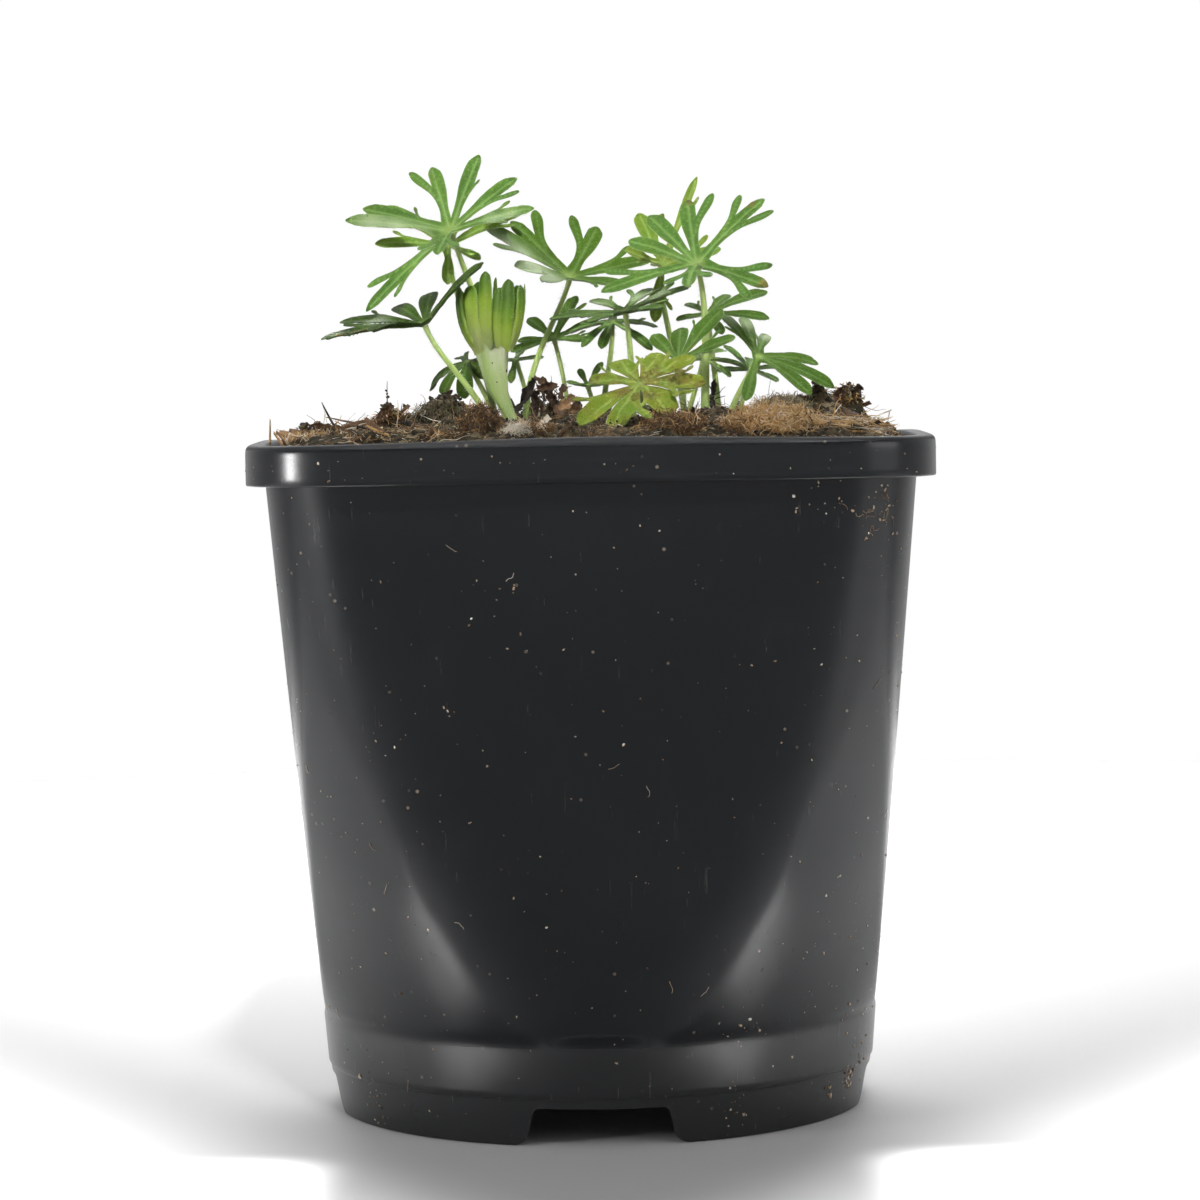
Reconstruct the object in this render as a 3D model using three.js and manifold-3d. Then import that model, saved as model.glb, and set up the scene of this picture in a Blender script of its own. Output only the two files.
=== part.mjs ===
// A young hardy geranium (bloody cranesbill habit) in a plastic nursery pot with a square rim and a round foot.
// Millimetres, +Z up. The origin is the centre of the pot's foot, on the ground, and -Y is the front.
// The pot is filled with growing medium, and each leaf stands on its own stalk in a plain hole in it.
import * as THREE from "three";
import Module from "manifold-3d";

const wasm = await Module();
wasm.setup();

const radians = THREE.MathUtils.degToRad;
const UP = new THREE.Vector3(0, 0, 1);

// ---- Driving dimensions: pot ----
const POT_HEIGHT = 150; // ground to the rim's top at its corners
const RIM_WIDTH = 149; // across the flats of the rim's band
const RIM_BAND = 8.6; // how far the band hangs down
const RIM_BOW = 0.9; // how much higher each side of the rim stands at its middle
const BAND_THICK = 1.2;
const WALL = 1.4;
const PANEL_TOP_WIDTH = 142; // across the four flat panels, at the height of the rim
const PANEL_FOOT_WIDTH = 123.2; // and at the foot of the panels
const FOOT_RADIUS = 60.1; // where the foot meets the ground
const STEP = { z: 10.6, under: 61.5, over: 61.9 }; // the faint step between the foot and the body, and its radii
const PANEL_FOOT = 21.5; // each side's flat panel starts here; below it the body is round
const FLOOR_UNDERSIDE = 9.3;
const FLOOR_THICK = 1.5;
const TOP_SQUARENESS = 7; // superellipse exponent of the body's top: 2 would be a circle
const FOOT_SQUARENESS = 3.2; // and at the foot of the panels
// The round cone that cuts the corners below mid height, [height, radius]. Each panel meets it in a U-shaped edge.
const CORNER_CONE = [[21, 63], [30, 65.8], [42, 69.5], [56, 74], [72, 78.3], [92, 82.5], [118, 87.2], [150, 95]];
const RIM_SQUARENESS = 6.5;
const NOTCH = { height: 8.2, topWidth: 29, footWidth: 32.4, fillet: 2 };
const DRAIN = { radius: 5, ring: 34 };
const OUTER_LEVELS = [PANEL_FOOT, 30, 42, 56, 72, 92, 118];
const INNER_LEVELS = [PANEL_FOOT, 42, 72, 118];
const AROUND = 60; // points round each level of the pot

// ---- Driving dimensions: growing medium ----
const SOIL_EDGE_Z = 149.3; // at the wall
const SOIL_SHOULDER = 2.4; // how much it rises in the first few millimetres from the wall
const SOIL_CROWN = 1.6; // and from there to the middle
const SOIL_HIGHEST = 160; // no stalk's hole needs to reach higher
const SOIL_RINGS = 12;
const GAP = 0.3; // between pieces that touch

// ---- Driving dimensions: foliage ----
const BLADE_THICK = 0.7;
const STALK = { foot: 0.9, top: 0.6, sides: 6, steps: 6 };
const ROOT_Z = 145.5; // where every stalk ends in the medium
const FINGER = [[-0.06, 1.6], [0.3, 3.2], [0.62, 3.4], [0.88, 2.3], [1, 0.8]]; // [share of its height, width]

const COLOUR = {
  pot: 0x23272b,
  soil: 0x5a4434,
  leaf: 0x5f8f4a,
  young: 0x86a83e,
  yellow: 0x98a445,
};

// Mounds of moss, bark and fibre on the medium: [x, y, radius, height].
const MOUNDS = [
  [46, 6, 16, 5.6],
  [27, -24, 15, 3.2],
  [54, -3, 5.5, 6.0],
  [60.5, 6, 4, 5.4],
  [-47, -9, 6, 5.6],
  [-35, 10, 13, 4.6],
  [-25, -22, 9, 3.2],
  [-8, 5, 6, 5.4],
  [-2, 32, 20, 3.4],
  [0, -10, 8, 2.6],
  [40, 40, 13, 3.4],
  [-44, 42, 13, 3.0],
  [-62, -26, 8, 1.6],
  [8, -50, 10, 0.8],
];

// Bark chips and twigs that stick out of the medium: [x, y, length, width, lean, turn] in mm and degrees.
const CHIPS = [
  [-52, -30, 16, 2.6, 14, 20],
  [-38, -36, 13, 2.2, 24, -35],
  [-44, 4, 9, 4.4, 62, 60],
  [-59, -4, 11, 1, 66, 150],
  [-6, -2, 9, 5.2, 64, 140],
  [0, 12, 8, 4.2, 58, 30],
  [47, -14, 11, 2.0, 38, 150],
  [57, -10, 9, 4.0, 66, 75],
  [62, 4, 7, 3.2, 56, 15],
  [34, 44, 15, 2.4, 18, 80],
  [-20, 48, 17, 2.0, 16, 165],
  [-48, 34, 11, 3.0, 40, -20],
  [14, 54, 12, 2.4, 26, 40],
  [60, -36, 12, 1.8, 16, 125],
];

// Leaves. root: where the stalk's foot stands, [x, y]. hub: where the stalk meets the blade. lobes: each lobe's tip
// from the hub, [right, back, up], in order round the hub from one side of the stalk's notch to the other. A fourth
// and fifth number give the sizes of the side lobes after and before it in that order; without them it is undivided.
// curl: degrees that a lobe bends down along its length. wide: breadth of the lobes against the usual. bend: how the stalk's lower half leans, in mm.
const LEAVES = [
  { name: "leaf_top_left", root: [-18.5, 3], hub: [-30.8, 0, 197.3], curl: 14, wide: 0.85, stalk: 1.1, lobes: [
    [19, -5, 4.5, 0.5, 0.4], [15, 6, 12, 0, 0.9], [6.5, 8, 17.5, 0, 0.3], [-4.5, 11, 15, 1.25, 0],
    [-20, 4, 5.5, 0.4, 0], [-23.5, -4, 2.5, 0, 0.6], [-19, -7, -18, 0.6, 0.8], [-2.5, -17, -6, 1, 1],
  ] },
  { name: "leaf_left_behind", root: [-21, 9], hub: [-31.9, 11, 194.4], curl: 16, wide: 1.05, lobes: [
    [7.5, -6, -3.5], [17.5, 4, 8, 0, 0.6], [2, 13, 7, 0.5, 0], [-14.5, 6, 9.5, 0, 0.4],
    [-16.5, -4, 0.5, 0, 0.5], [0, -6, -9],
  ] },
  { name: "leaf_left_low", root: [-21.5, -9.5], hub: [-36.6, -10, 176], curl: 18, wide: 1.2, bend: [2, 0, -2], lobes: [
    [13.5, -3, 13.5, 0, 0.7], [1, 13, 7.5], [-7, 12, 4.5], [-19.5, 8, 1, 0.5, 0.4],
    [-23, -3, -3, 0.7, 0.8], [-11.5, -14, -1.5, 0.7, 0],
  ] },
  { name: "leaf_middle_back", root: [-14.5, 11], hub: [-4.2, 15, 186.8], curl: 8, wide: 1.15, bend: [-3, 0, 2], lobes: [
    [12, -10, -2.5, 0, 0.5], [19, 2, 4, 0.7, 0.6], [6.5, 9, 12, 1.25, 0], [-13.5, 7, 13.5, 0, 1.2],
    [-19.5, -1, 12, 0.8, 0], [-12.5, -10, 2.5], [-6.5, -13, -1, 0, 0.5],
  ] },
  { name: "leaf_middle_small", root: [-4.5, 20.5], hub: [-8.2, 25, 173.1], curl: 8, wide: 1.1, stalk: 0.6, lobes: [
    [8, -7, -0.5, 0.6, 0], [10, 2, 4], [5.5, 7, 10, 0, 0.8], [-6, 8, 5], [-8.5, 0, -0.5], [-10, -5, -3],
  ] },
  { name: "leaf_middle_flat", root: [9.5, -3], hub: [8.2, -5, 178.3], curl: 12, wide: 1.15, stalk: 1.1, lobes: [
    [8.5, -10, 0.5, 0.8, 0.5], [15, 2, 5.5, 0.8, 0.4], [6, 12, 5.5, 0.8, 0.8], [-7.5, 10, 3, 0, 0.5],
    [-17, -2, -1.5, 0.5, 0.5], [-8, -12, -2.5, 0.6, 0.8],
  ] },
  { name: "leaf_middle_drooping", root: [2, 9], hub: [5.3, 12, 176.7], curl: 22, stalk: 0.8, lobes: [
    [9, -5, -7], [10.5, 3, -1.5, 0.6, 0], [1.5, 11, 2.5], [-10, 3, -2.5, 0, 0.5], [-7, -6, -6, 0, 0.6],
    [-2.5, -8, -6.5, 0, 0.5],
  ] },
  { name: "leaf_top_right", root: [25.5, -13], hub: [24.4, -8, 188.5], curl: 16, stalk: 1.25, lobes: [
    [15.5, -9, -5.5, 1, 1.1], [15.5, 3, 14.5, 0.9, 1.1], [-1.5, 11, 15, 0, 1.2], [-10.5, 11, 11.5],
    [-15, 9, 6], [-21.5, -6, -6, 0, 0.9], [-2.5, -17, -5.5, 1, 1],
  ] },
  { name: "leaf_right_tall_pale", root: [22, 4], hub: [17, 13.5, 189.2], curl: 8, wide: 1.1, lobes: [
    [13.5, -3, 3.5, 0.8, 0.7], [8.5, 5, 20.5, 0, 0.7], [-5, 9, 12.5, 0, 0.9], [-8.5, -6, 3.5, 0.5, 0],
    [0, -11, -1.5, 0.7, 0.7],
  ] },
  { name: "leaf_right_inner", root: [21, -3], hub: [25.8, 3, 167.8], curl: 20, stalk: 0.7, lobes: [
    [6, -5, -4.5], [9.5, 2, -2], [4.5, 10, 2, 0, 0.5], [-8, 4, 1.5, 0.5, 0], [-7, -7, -2, 0, 0.5],
  ] },
  { name: "leaf_right_front", root: [20.5, -17], hub: [19.5, -25, 166.7], curl: 8, wide: 1.15, stalk: 0.8, lobes: [
    [3, -9, -0.5, 0.7, 0], [12.5, -5, 5, 0.5, 0.3], [10, 5, 11.5, 0.3, 0], [1, 9, 7.5], [-5.5, 6, 6],
    [-7.5, -6, 0, 0, 0.5],
  ] },
  { name: "leaf_right_back", root: [29.5, 5], hub: [27.6, 19, 178.2], curl: 14, wide: 1.1, lobes: [
    [3, -7, -5], [14, -2, -1.5], [14, 6, 5], [5, 9, 4.5, 0.4, 0], [-5, 7, 2.5, 0, 0.6], [-7.5, -3, -1.5],
  ] },
  { name: "leaf_right_low", root: [29.5, -9], hub: [37.7, -5, 167.9], curl: 24, lobes: [
    [-3, -5, -10], [11.5, -9, -9, 0.6, 0], [17, -3, -7.5, 0, 0.6], [14, 5, -2, 0, 0.5], [2.5, 11, 5, 0.6, 0],
    [-3, 8, 9], [-8, 3, 9.5, 0.5, 0],
  ] },
  { name: "leaf_right_low_behind", root: [33, 1], hub: [36.9, 9, 165.2], curl: 12, stalk: 0.7, lobes: [
    [6, -5, -3], [9.5, 4, 0.5], [0, 10, 2.5], [-6, 5, 5.5], [-8, -5, -0.5],
  ] },
  { name: "leaf_yellow_front", root: [13.5, -21], hub: [10.9, -40, 162], curl: 12, wide: 1.7, colour: "yellow", lobes: [
    [14, -6, -0.5, 0.4, 0.6], [12, 4, 5.5, 0.5, 0.3], [4.5, 9, 6.5, 0.4, 0], [-4.5, 10, 5, 0, 0.5],
    [-11, -3, 0.5, 0, 0.4], [-12.5, -12, -7.5, 0.6, 0.4], [-5, -16, -9, 0.7, 0.5],
  ] },
  { name: "leaf_centre_seedling", root: [3, 20], hub: [-0.5, 24, 162], curl: 8, stalk: 0.6, lobes: [
    [4.5, -4, 0.5], [3.5, 4, 5.5], [-2, 5, 4], [-5, -2, 1],
  ] },
  { name: "leaf_left_wilted", root: [-20.5, 17], hub: [-28.2, 22, 168], curl: 50, wide: 1.2, lobes: [
    [4.5, -5, -4], [3.5, 6, -0.5], [-1.5, 9, 1], [-9, 4, -6.5], [-5.5, -4, -8], [-0.5, -8, -8.5],
  ] },
  { name: "leaf_back_low", root: [-13, 19], hub: [-17.2, 27, 168.4], curl: 20, stalk: 0.7, lobes: [
    [6.5, 0, 0.5], [1.5, 8, 2], [-5.5, 4, -0.5], [-1, -6, -5.5],
  ] },
];

// The young shoot: a flat pale sheath that carries two leaves still folded like tulips, [x, y, z].
const SHOOT = {
  foot: [-14.6, -12.5, ROOT_Z],
  neck: [-22.2, -8, 171],
  footWidth: 3.6,
  neckWidth: 7.4,
  depth: 3.6,
};
// Each folded leaf: where it starts, and its fingers' tips from there, [right, back, up].
const FOLDED = [
  { base: [-24.6, -8, 169], fingers: [
    [-4.6, -0.4, 14.6], [-3, -2, 14], [-0.2, -2.2, 17.8], [2.6, -0.8, 16.6], [1.4, 1.8, 14.6], [-1.8, 2, 15.6],
  ] },
  { base: [-20.2, -8, 170], fingers: [
    [-1.2, -1, 13], [0.4, -2.2, 14], [2, -2.4, 15.4], [4.4, -1, 14.4], [4.2, 1.2, 14.2], [1.2, 2, 14.8],
  ] },
];

// ---- Helpers ----
// A repeatable number from 0 to 1 for a pair of whole numbers.
function dice(i, j) {
  const s = Math.sin(i * 127.1 + j * 311.7) * 43758.5453;
  return s - Math.floor(s);
}

function manifoldOf(points, faces) {
  const made = new wasm.Manifold(
    new wasm.Mesh({
      numProp: 3,
      vertProperties: new Float32Array(points.flatMap((p) => [p.x, p.y, p.z])),
      triVerts: new Uint32Array(faces.flat()),
    }),
  );
  if (made.volume() > 0) return made;
  return manifoldOf(points, faces.map(([a, b, c]) => [a, c, b]));
}

function manifoldOfGeometry(geometry) {
  const flat = geometry.index ? geometry.toNonIndexed() : geometry;
  const at = flat.getAttribute("position");
  const seen = new Map();
  const points = [];
  const faces = [];
  for (let i = 0; i < at.count; i++) {
    const p = new THREE.Vector3().fromBufferAttribute(at, i);
    const key = p.toArray().map((v) => Math.round(v * 1e4)).join();
    if (!seen.has(key)) {
      seen.set(key, points.length);
      points.push(p);
    }
    if (i % 3 === 0) faces.push([]);
    faces.at(-1).push(seen.get(key));
  }
  return manifoldOf(points, faces.filter(([a, b, c]) => a !== b && b !== c && c !== a));
}

function meshOf(name, manifold, colour, roughness) {
  const made = manifold.getMesh();
  const geometry = new THREE.BufferGeometry();
  geometry.setAttribute("position", new THREE.BufferAttribute(new Float32Array(made.vertProperties), 3));
  geometry.setIndex(new THREE.BufferAttribute(new Uint32Array(made.triVerts), 1));
  geometry.computeVertexNormals();
  const mesh = new THREE.Mesh(geometry, new THREE.MeshStandardMaterial({ color: colour, roughness }));
  mesh.name = name;
  return mesh;
}

// Closes a stack of rings, each with the same number of points, by bands and a fan at each end.
function stackOfRings(rings) {
  const count = rings[0].length;
  const points = rings.flat();
  const faces = [];
  for (let r = 0; r + 1 < rings.length; r++)
    for (let i = 0; i < count; i++) {
      const a = r * count + i;
      const b = r * count + ((i + 1) % count);
      faces.push([a, b, b + count], [a, b + count, a + count]);
    }
  for (const [ring, last] of [[0, false], [rings.length - 1, true]]) {
    const middle = rings[ring].reduce((sum, p) => sum.add(p), new THREE.Vector3()).divideScalar(count);
    points.push(middle);
    for (let i = 0; i < count; i++) {
      const a = ring * count + i;
      const b = ring * count + ((i + 1) % count);
      faces.push(last ? [a, b, points.length - 1] : [b, a, points.length - 1]);
    }
  }
  return manifoldOf(points, faces);
}

// ---- Pot ----
function bodyHalfWidth(z) {
  return THREE.MathUtils.mapLinear(z, PANEL_FOOT, POT_HEIGHT, PANEL_FOOT_WIDTH / 2, PANEL_TOP_WIDTH / 2);
}

function squareness(z) {
  return THREE.MathUtils.mapLinear(z, PANEL_FOOT, POT_HEIGHT, FOOT_SQUARENESS, TOP_SQUARENESS);
}

function cornerReach(z) {
  const above = Math.max(1, CORNER_CONE.findIndex(([height]) => height >= z));
  return THREE.MathUtils.mapLinear(z, CORNER_CONE[above - 1][0], CORNER_CONE[above][0],
    CORNER_CONE[above - 1][1], CORNER_CONE[above][1]);
}

// One level of the pot: a superellipse with its corners cut by a circle. Its sides stand bow higher at their middles.
function level(z, half, exponent, { bow = 0, reach = Infinity } = {}) {
  return Array.from({ length: AROUND }, (_, i) => {
    const turn = (2 * Math.PI * i) / AROUND;
    const across = (v) => Math.sign(v) * Math.abs(v) ** (2 / exponent) * half;
    const x = across(Math.cos(turn));
    const y = across(Math.sin(turn));
    const cut = Math.min(1, reach / Math.hypot(x, y));
    const rise = bow * (0.5 + 0.5 * Math.cos(4 * Math.atan2(y, x)));
    return new THREE.Vector3(x * cut, y * cut, z + rise);
  });
}

function bodyLevel(z, inset, bow = 0) {
  return level(z, bodyHalfWidth(z) - inset, squareness(z), { bow, reach: cornerReach(z) - inset });
}

function rimLevel(z, inset, bow = 0) {
  return level(z, RIM_WIDTH / 2 - inset, RIM_SQUARENESS, { bow });
}

const BAND_FOOT = POT_HEIGHT - RIM_BAND;
const FLOOR_TOP = FLOOR_UNDERSIDE + FLOOR_THICK;

function potShell() {
  const lipUnderside = POT_HEIGHT - BAND_THICK;
  const outside = [
    level(FLOOR_UNDERSIDE, STEP.under - WALL, 2),
    level(0, FOOT_RADIUS - WALL, 2),
    level(0, FOOT_RADIUS - 0.3, 2),
    level(0.6, FOOT_RADIUS, 2),
    level(STEP.z - 0.4, STEP.under, 2),
    level(STEP.z, STEP.over, 2),
    level(...CORNER_CONE[0], 2),
    ...OUTER_LEVELS.map((z) => bodyLevel(z, 0)),
    bodyLevel(lipUnderside, 0, RIM_BOW),
  ];
  const rim = [
    rimLevel(lipUnderside, BAND_THICK, RIM_BOW),
    rimLevel(BAND_FOOT, BAND_THICK),
    rimLevel(BAND_FOOT, 0),
    rimLevel(POT_HEIGHT - 0.8, 0.1, RIM_BOW),
    rimLevel(POT_HEIGHT, 0.9, RIM_BOW),
    bodyLevel(POT_HEIGHT, 0.6, RIM_BOW),
  ];
  const inside = [
    bodyLevel(POT_HEIGHT - 1.2, WALL, RIM_BOW),
    ...[...INNER_LEVELS].reverse().map((z) => bodyLevel(z, WALL)),
    level(FLOOR_TOP, STEP.over - WALL, 2),
  ];
  return stackOfRings([...outside, ...rim, ...inside]);
}

// A block as long as the pot is wide, with the outline of one notch, turned to run along X or Y.
function notchCutter(turn) {
  const { height, topWidth, footWidth, fillet } = NOTCH;
  const below = -5;
  const outline = new THREE.Shape();
  outline.moveTo(-footWidth / 2, below);
  outline.lineTo(footWidth / 2, below);
  outline.lineTo(footWidth / 2, 0);
  outline.lineTo(topWidth / 2, height - fillet);
  outline.quadraticCurveTo(topWidth / 2, height, topWidth / 2 - fillet, height);
  outline.lineTo(fillet - topWidth / 2, height);
  outline.quadraticCurveTo(-topWidth / 2, height, -topWidth / 2, height - fillet);
  outline.lineTo(-footWidth / 2, 0);
  outline.closePath();
  const long = RIM_WIDTH;
  const block = new THREE.ExtrudeGeometry(outline, { depth: long, bevelEnabled: false, curveSegments: 3 });
  block.translate(0, 0, -long / 2).rotateX(Math.PI / 2).rotateZ(turn);
  return manifoldOfGeometry(block);
}

function drainCutter(x, y) {
  const hole = new THREE.CylinderGeometry(DRAIN.radius, DRAIN.radius, 4 * FLOOR_THICK, 10);
  hole.rotateX(Math.PI / 2).translate(x, y, FLOOR_UNDERSIDE + FLOOR_THICK / 2);
  return manifoldOfGeometry(hole);
}

function makePot() {
  let pot = potShell().subtract(notchCutter(0)).subtract(notchCutter(Math.PI / 2));
  pot = pot.subtract(drainCutter(0, 0));
  for (let i = 0; i < 4; i++) {
    const turn = radians(90 * i);
    pot = pot.subtract(drainCutter(DRAIN.ring * Math.cos(turn), DRAIN.ring * Math.sin(turn)));
  }
  return pot;
}

// ---- Growing medium ----
// Height of the medium's surface: a low dome, the mounds, and crumbs that fade out at the wall.
function soilTop(x, y) {
  const out = Math.hypot((Math.abs(x) / 69) ** 3, (Math.abs(y) / 69) ** 3) ** (1 / 3);
  const free = THREE.MathUtils.smoothstep(1 - out, 0, 0.1);
  let z = SOIL_EDGE_Z + SOIL_SHOULDER * free + SOIL_CROWN * Math.max(0, 1 - out);
  for (const [mx, my, radius, height] of MOUNDS) {
    const near = ((x - mx) ** 2 + (y - my) ** 2) / radius ** 2;
    z += height * Math.exp(-1.6 * near) * free;
  }
  const crumbs = Math.sin(0.61 * x + 1.3 * Math.sin(0.37 * y)) * Math.sin(0.53 * y + 1.1 * Math.sin(0.41 * x));
  return z + free * 0.9 * crumbs;
}

function soilBody() {
  const inner = WALL + GAP;
  const rings = [
    level(FLOOR_TOP + GAP, STEP.over - inner, 2),
    ...INNER_LEVELS.map((z) => bodyLevel(z, inner)),
    bodyLevel(SOIL_EDGE_Z, inner),
  ];
  const rim = rings.at(-1);
  for (let r = SOIL_RINGS - 1; r > 0; r--) {
    const share = r / SOIL_RINGS;
    rings.push(
      rim.map((p, i) => {
        // Inner rings are rounder and a little jagged, so that the crumbs don't line up.
        const turn = (2 * Math.PI * i) / AROUND;
        const round = new THREE.Vector2(Math.cos(turn), Math.sin(turn)).multiplyScalar(RIM_WIDTH / 2);
        const blend = round.lerp(new THREE.Vector2(p.x, p.y), share ** 0.5);
        const jag = share + (0.35 / SOIL_RINGS) * (dice(i, r) - 0.5);
        const x = blend.x * jag;
        const y = blend.y * jag;
        const rough = 1.5 * (dice(i + 7, r + 3) - 0.4) * Math.min(1, (SOIL_RINGS - r) / 2);
        return new THREE.Vector3(x, y, soilTop(x, y) + rough);
      }),
    );
  }
  return stackOfRings(rings.reverse());
}

// A splinter of bark: a flat tapered block with its lower end deep in the medium.
function chip([x, y, length, width, lean, turn], i) {
  const outline = new THREE.Shape([
    new THREE.Vector2(-0.3 * length, -width / 2),
    new THREE.Vector2(0.55 * length, -0.4 * width),
    new THREE.Vector2(0.7 * length, 0.1 * width),
    new THREE.Vector2(0.5 * length, 0.45 * width),
    new THREE.Vector2(-0.3 * length, width / 2),
  ]);
  const thick = 0.9 + 0.6 * dice(i, 40);
  const block = new THREE.ExtrudeGeometry(outline, { depth: thick, bevelEnabled: false });
  block.translate(0, 0, -thick / 2).rotateX(radians(50 * dice(i, 41)));
  block.rotateY(-radians(lean)).rotateZ(radians(turn)).translate(x, y, soilTop(x, y) - 0.4);
  return manifoldOfGeometry(block);
}

function makeSoil(sockets) {
  let soil = soilBody();
  CHIPS.forEach((row, i) => {
    soil = soil.add(chip(row, i));
  });
  for (const socket of sockets) soil = soil.subtract(socket);
  const pieces = soil.decompose();
  return pieces.sort((a, b) => b.volume() - a.volume())[0];
}

// ---- Leaves ----
// Half of a lobe, from its neck to its tip, in shares of its length: [along, across].
const RIB = [0.3, 0.56, 0.8];
const PLAIN = { neck: [0.34, 0.07], flank: [0.6, 0.118], cheek: [0.85, 0.12], shoulder: [0.955, 0.062] };
const CUT = {
  neck: [0.34, 0.072],
  flank: [0.57, 0.13],
  sideRib: [0.72, 0.195],
  outer: [0.77, 0.285],
  sideTip: [0.89, 0.31],
  inner: [0.87, 0.225],
  notch: [0.67, 0.092],
  shoulder: [0.91, 0.078],
};
const SINUS_REACH = 0.17; // how far out neighbouring lobes stay joined
const LONGEST_BROAD = 18; // lobes longer than this get no broader, in mm
const FOLD = radians(9); // how far each half of a lobe rises from its rib

function sum(vectors) {
  return vectors.reduce((total, v) => total.add(v), new THREE.Vector3());
}

// The blade's own directions: its normal, and two in its plane.
function bladeAxes(tips) {
  const turns = tips.slice(1).map((tip, k) => tips[k].clone().cross(tip));
  const normal = sum(turns).normalize();
  const ahead = tips[0].clone().addScaledVector(normal, -tips[0].dot(normal)).normalize();
  return [ahead, normal.clone().cross(ahead), normal];
}

// The lobes in the blade's own axes: turn, length, lift and curl in radians, and each half's side lobe and room.
function lobesOf(leaf) {
  const tips = leaf.lobes.map(([x, y, z]) => new THREE.Vector3(x, y, z));
  const axes = bladeAxes(tips);
  const curl = -radians(leaf.curl);
  let last = -1;
  const lobes = tips.map((tip, k) => {
    const [x, y, z] = axes.map((axis) => tip.dot(axis));
    let turn = Math.atan2(y, x);
    if (turn < last) turn += 2 * Math.PI;
    last = turn;
    const length = (tip.length() * curl) / 2 / Math.sin(curl / 2);
    const room = [k - 1, k + 1].map((n) => (tips[n] ? tips[n].angleTo(tip) / 2 : 1));
    const [, , , after = 0, before = 0] = leaf.lobes[k];
    const lift = Math.asin(z / tip.length()) - curl / 2;
    const wide = (leaf.wide || 1) * Math.min(1, LONGEST_BROAD / length);
    return { turn, length, lift, curl, sides: [before, after], room, wide };
  });
  return { axes, lobes };
}

// A point of a bent lobe, and the blade's normal there. side is 1 after the rib, going round, and -1 before it.
function lobePoint(lobe, along, across, side) {
  const lean = lobe.lift + lobe.curl * along;
  const rise = across * Math.sin(FOLD);
  const out = (Math.sin(lean) - Math.sin(lobe.lift)) / lobe.curl - rise * Math.sin(lean);
  const up = (Math.cos(lobe.lift) - Math.cos(lean)) / lobe.curl + rise * Math.cos(lean);
  const away = side * across * Math.cos(FOLD);
  const c = Math.cos(lobe.turn);
  const s = Math.sin(lobe.turn);
  return {
    at: new THREE.Vector3(out * c - away * s, out * s + away * c, up).multiplyScalar(lobe.length),
    normal: new THREE.Vector3(-Math.sin(lean) * c, -Math.sin(lean) * s, Math.cos(lean)),
  };
}

// The outline of one half of a lobe. A side lobe shrinks towards the flank where the next lobe leaves little room.
function halfOutline(lobe, h) {
  const narrow = Math.min(lobe.wide, Math.tan(lobe.room[h]) / 0.24);
  const size = Math.min(lobe.sides[h], (lobe.room[h] - 0.2) / 0.13);
  if (size < 0.3) return { cut: false, points: scaled(PLAIN, 1, narrow) };
  return { cut: true, points: scaled(CUT, size, narrow) };
}

function scaled(half, size, narrow) {
  const [flankAlong, flankAcross] = half.flank;
  const grows = ["sideRib", "outer", "sideTip", "inner", "notch"];
  const entries = Object.entries(half).map(([name, [along, across]]) => {
    if (!grows.includes(name)) return [name, [along, across * narrow]];
    const out = flankAlong + (along - flankAlong) * size;
    return [name, [out, (flankAcross + (across - flankAcross) * size) * narrow]];
  });
  return Object.fromEntries(entries);
}

// Triangles of half a lobe that follows its rib, going round. r: the rib's points, p: the outline's, corner: the sinus.
function halfFaces(hub, r, tip, p, corner) {
  const inner = [
    [hub, r[0], corner],
    [r[0], p.neck, corner],
    [r[0], r[1], p.flank],
    [r[0], p.flank, p.neck],
  ];
  if (p.cheek !== undefined)
    return [
      ...inner,
      [r[1], p.cheek, p.flank],
      [r[1], r[2], p.cheek],
      [r[2], p.shoulder, p.cheek],
      [r[2], tip, p.shoulder],
    ];
  return [
    ...inner,
    [r[1], p.sideRib, p.flank],
    [p.sideRib, p.outer, p.flank],
    [p.sideRib, p.sideTip, p.outer],
    [p.sideRib, p.inner, p.sideTip],
    [p.sideRib, p.notch, p.inner],
    [p.sideRib, r[1], p.notch],
    [r[1], r[2], p.notch],
    [r[2], p.shoulder, p.notch],
    [r[2], tip, p.shoulder],
  ];
}

// Where two neighbouring lobes part, or the end of the blade beside the stalk's notch.
function sinusPoint(lobes, k) {
  const beside = [lobes[k - 1], lobes[k]].filter((lobe) => lobe);
  const near = beside.map((lobe) => lobePoint(lobe, SINUS_REACH, 0, 1).at);
  if (beside.length === 2) return sum(near).multiplyScalar(0.5 / Math.cos(beside[0].room[1]) ** 0.5);
  const gap = 2 * Math.PI - (lobes.at(-1).turn - lobes[0].turn);
  const swing = Math.min(0.4, 0.4 * gap) * (k === 0 ? -1 : 1);
  return near[0].applyAxisAngle(UP, swing).multiplyScalar(0.8);
}

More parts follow.
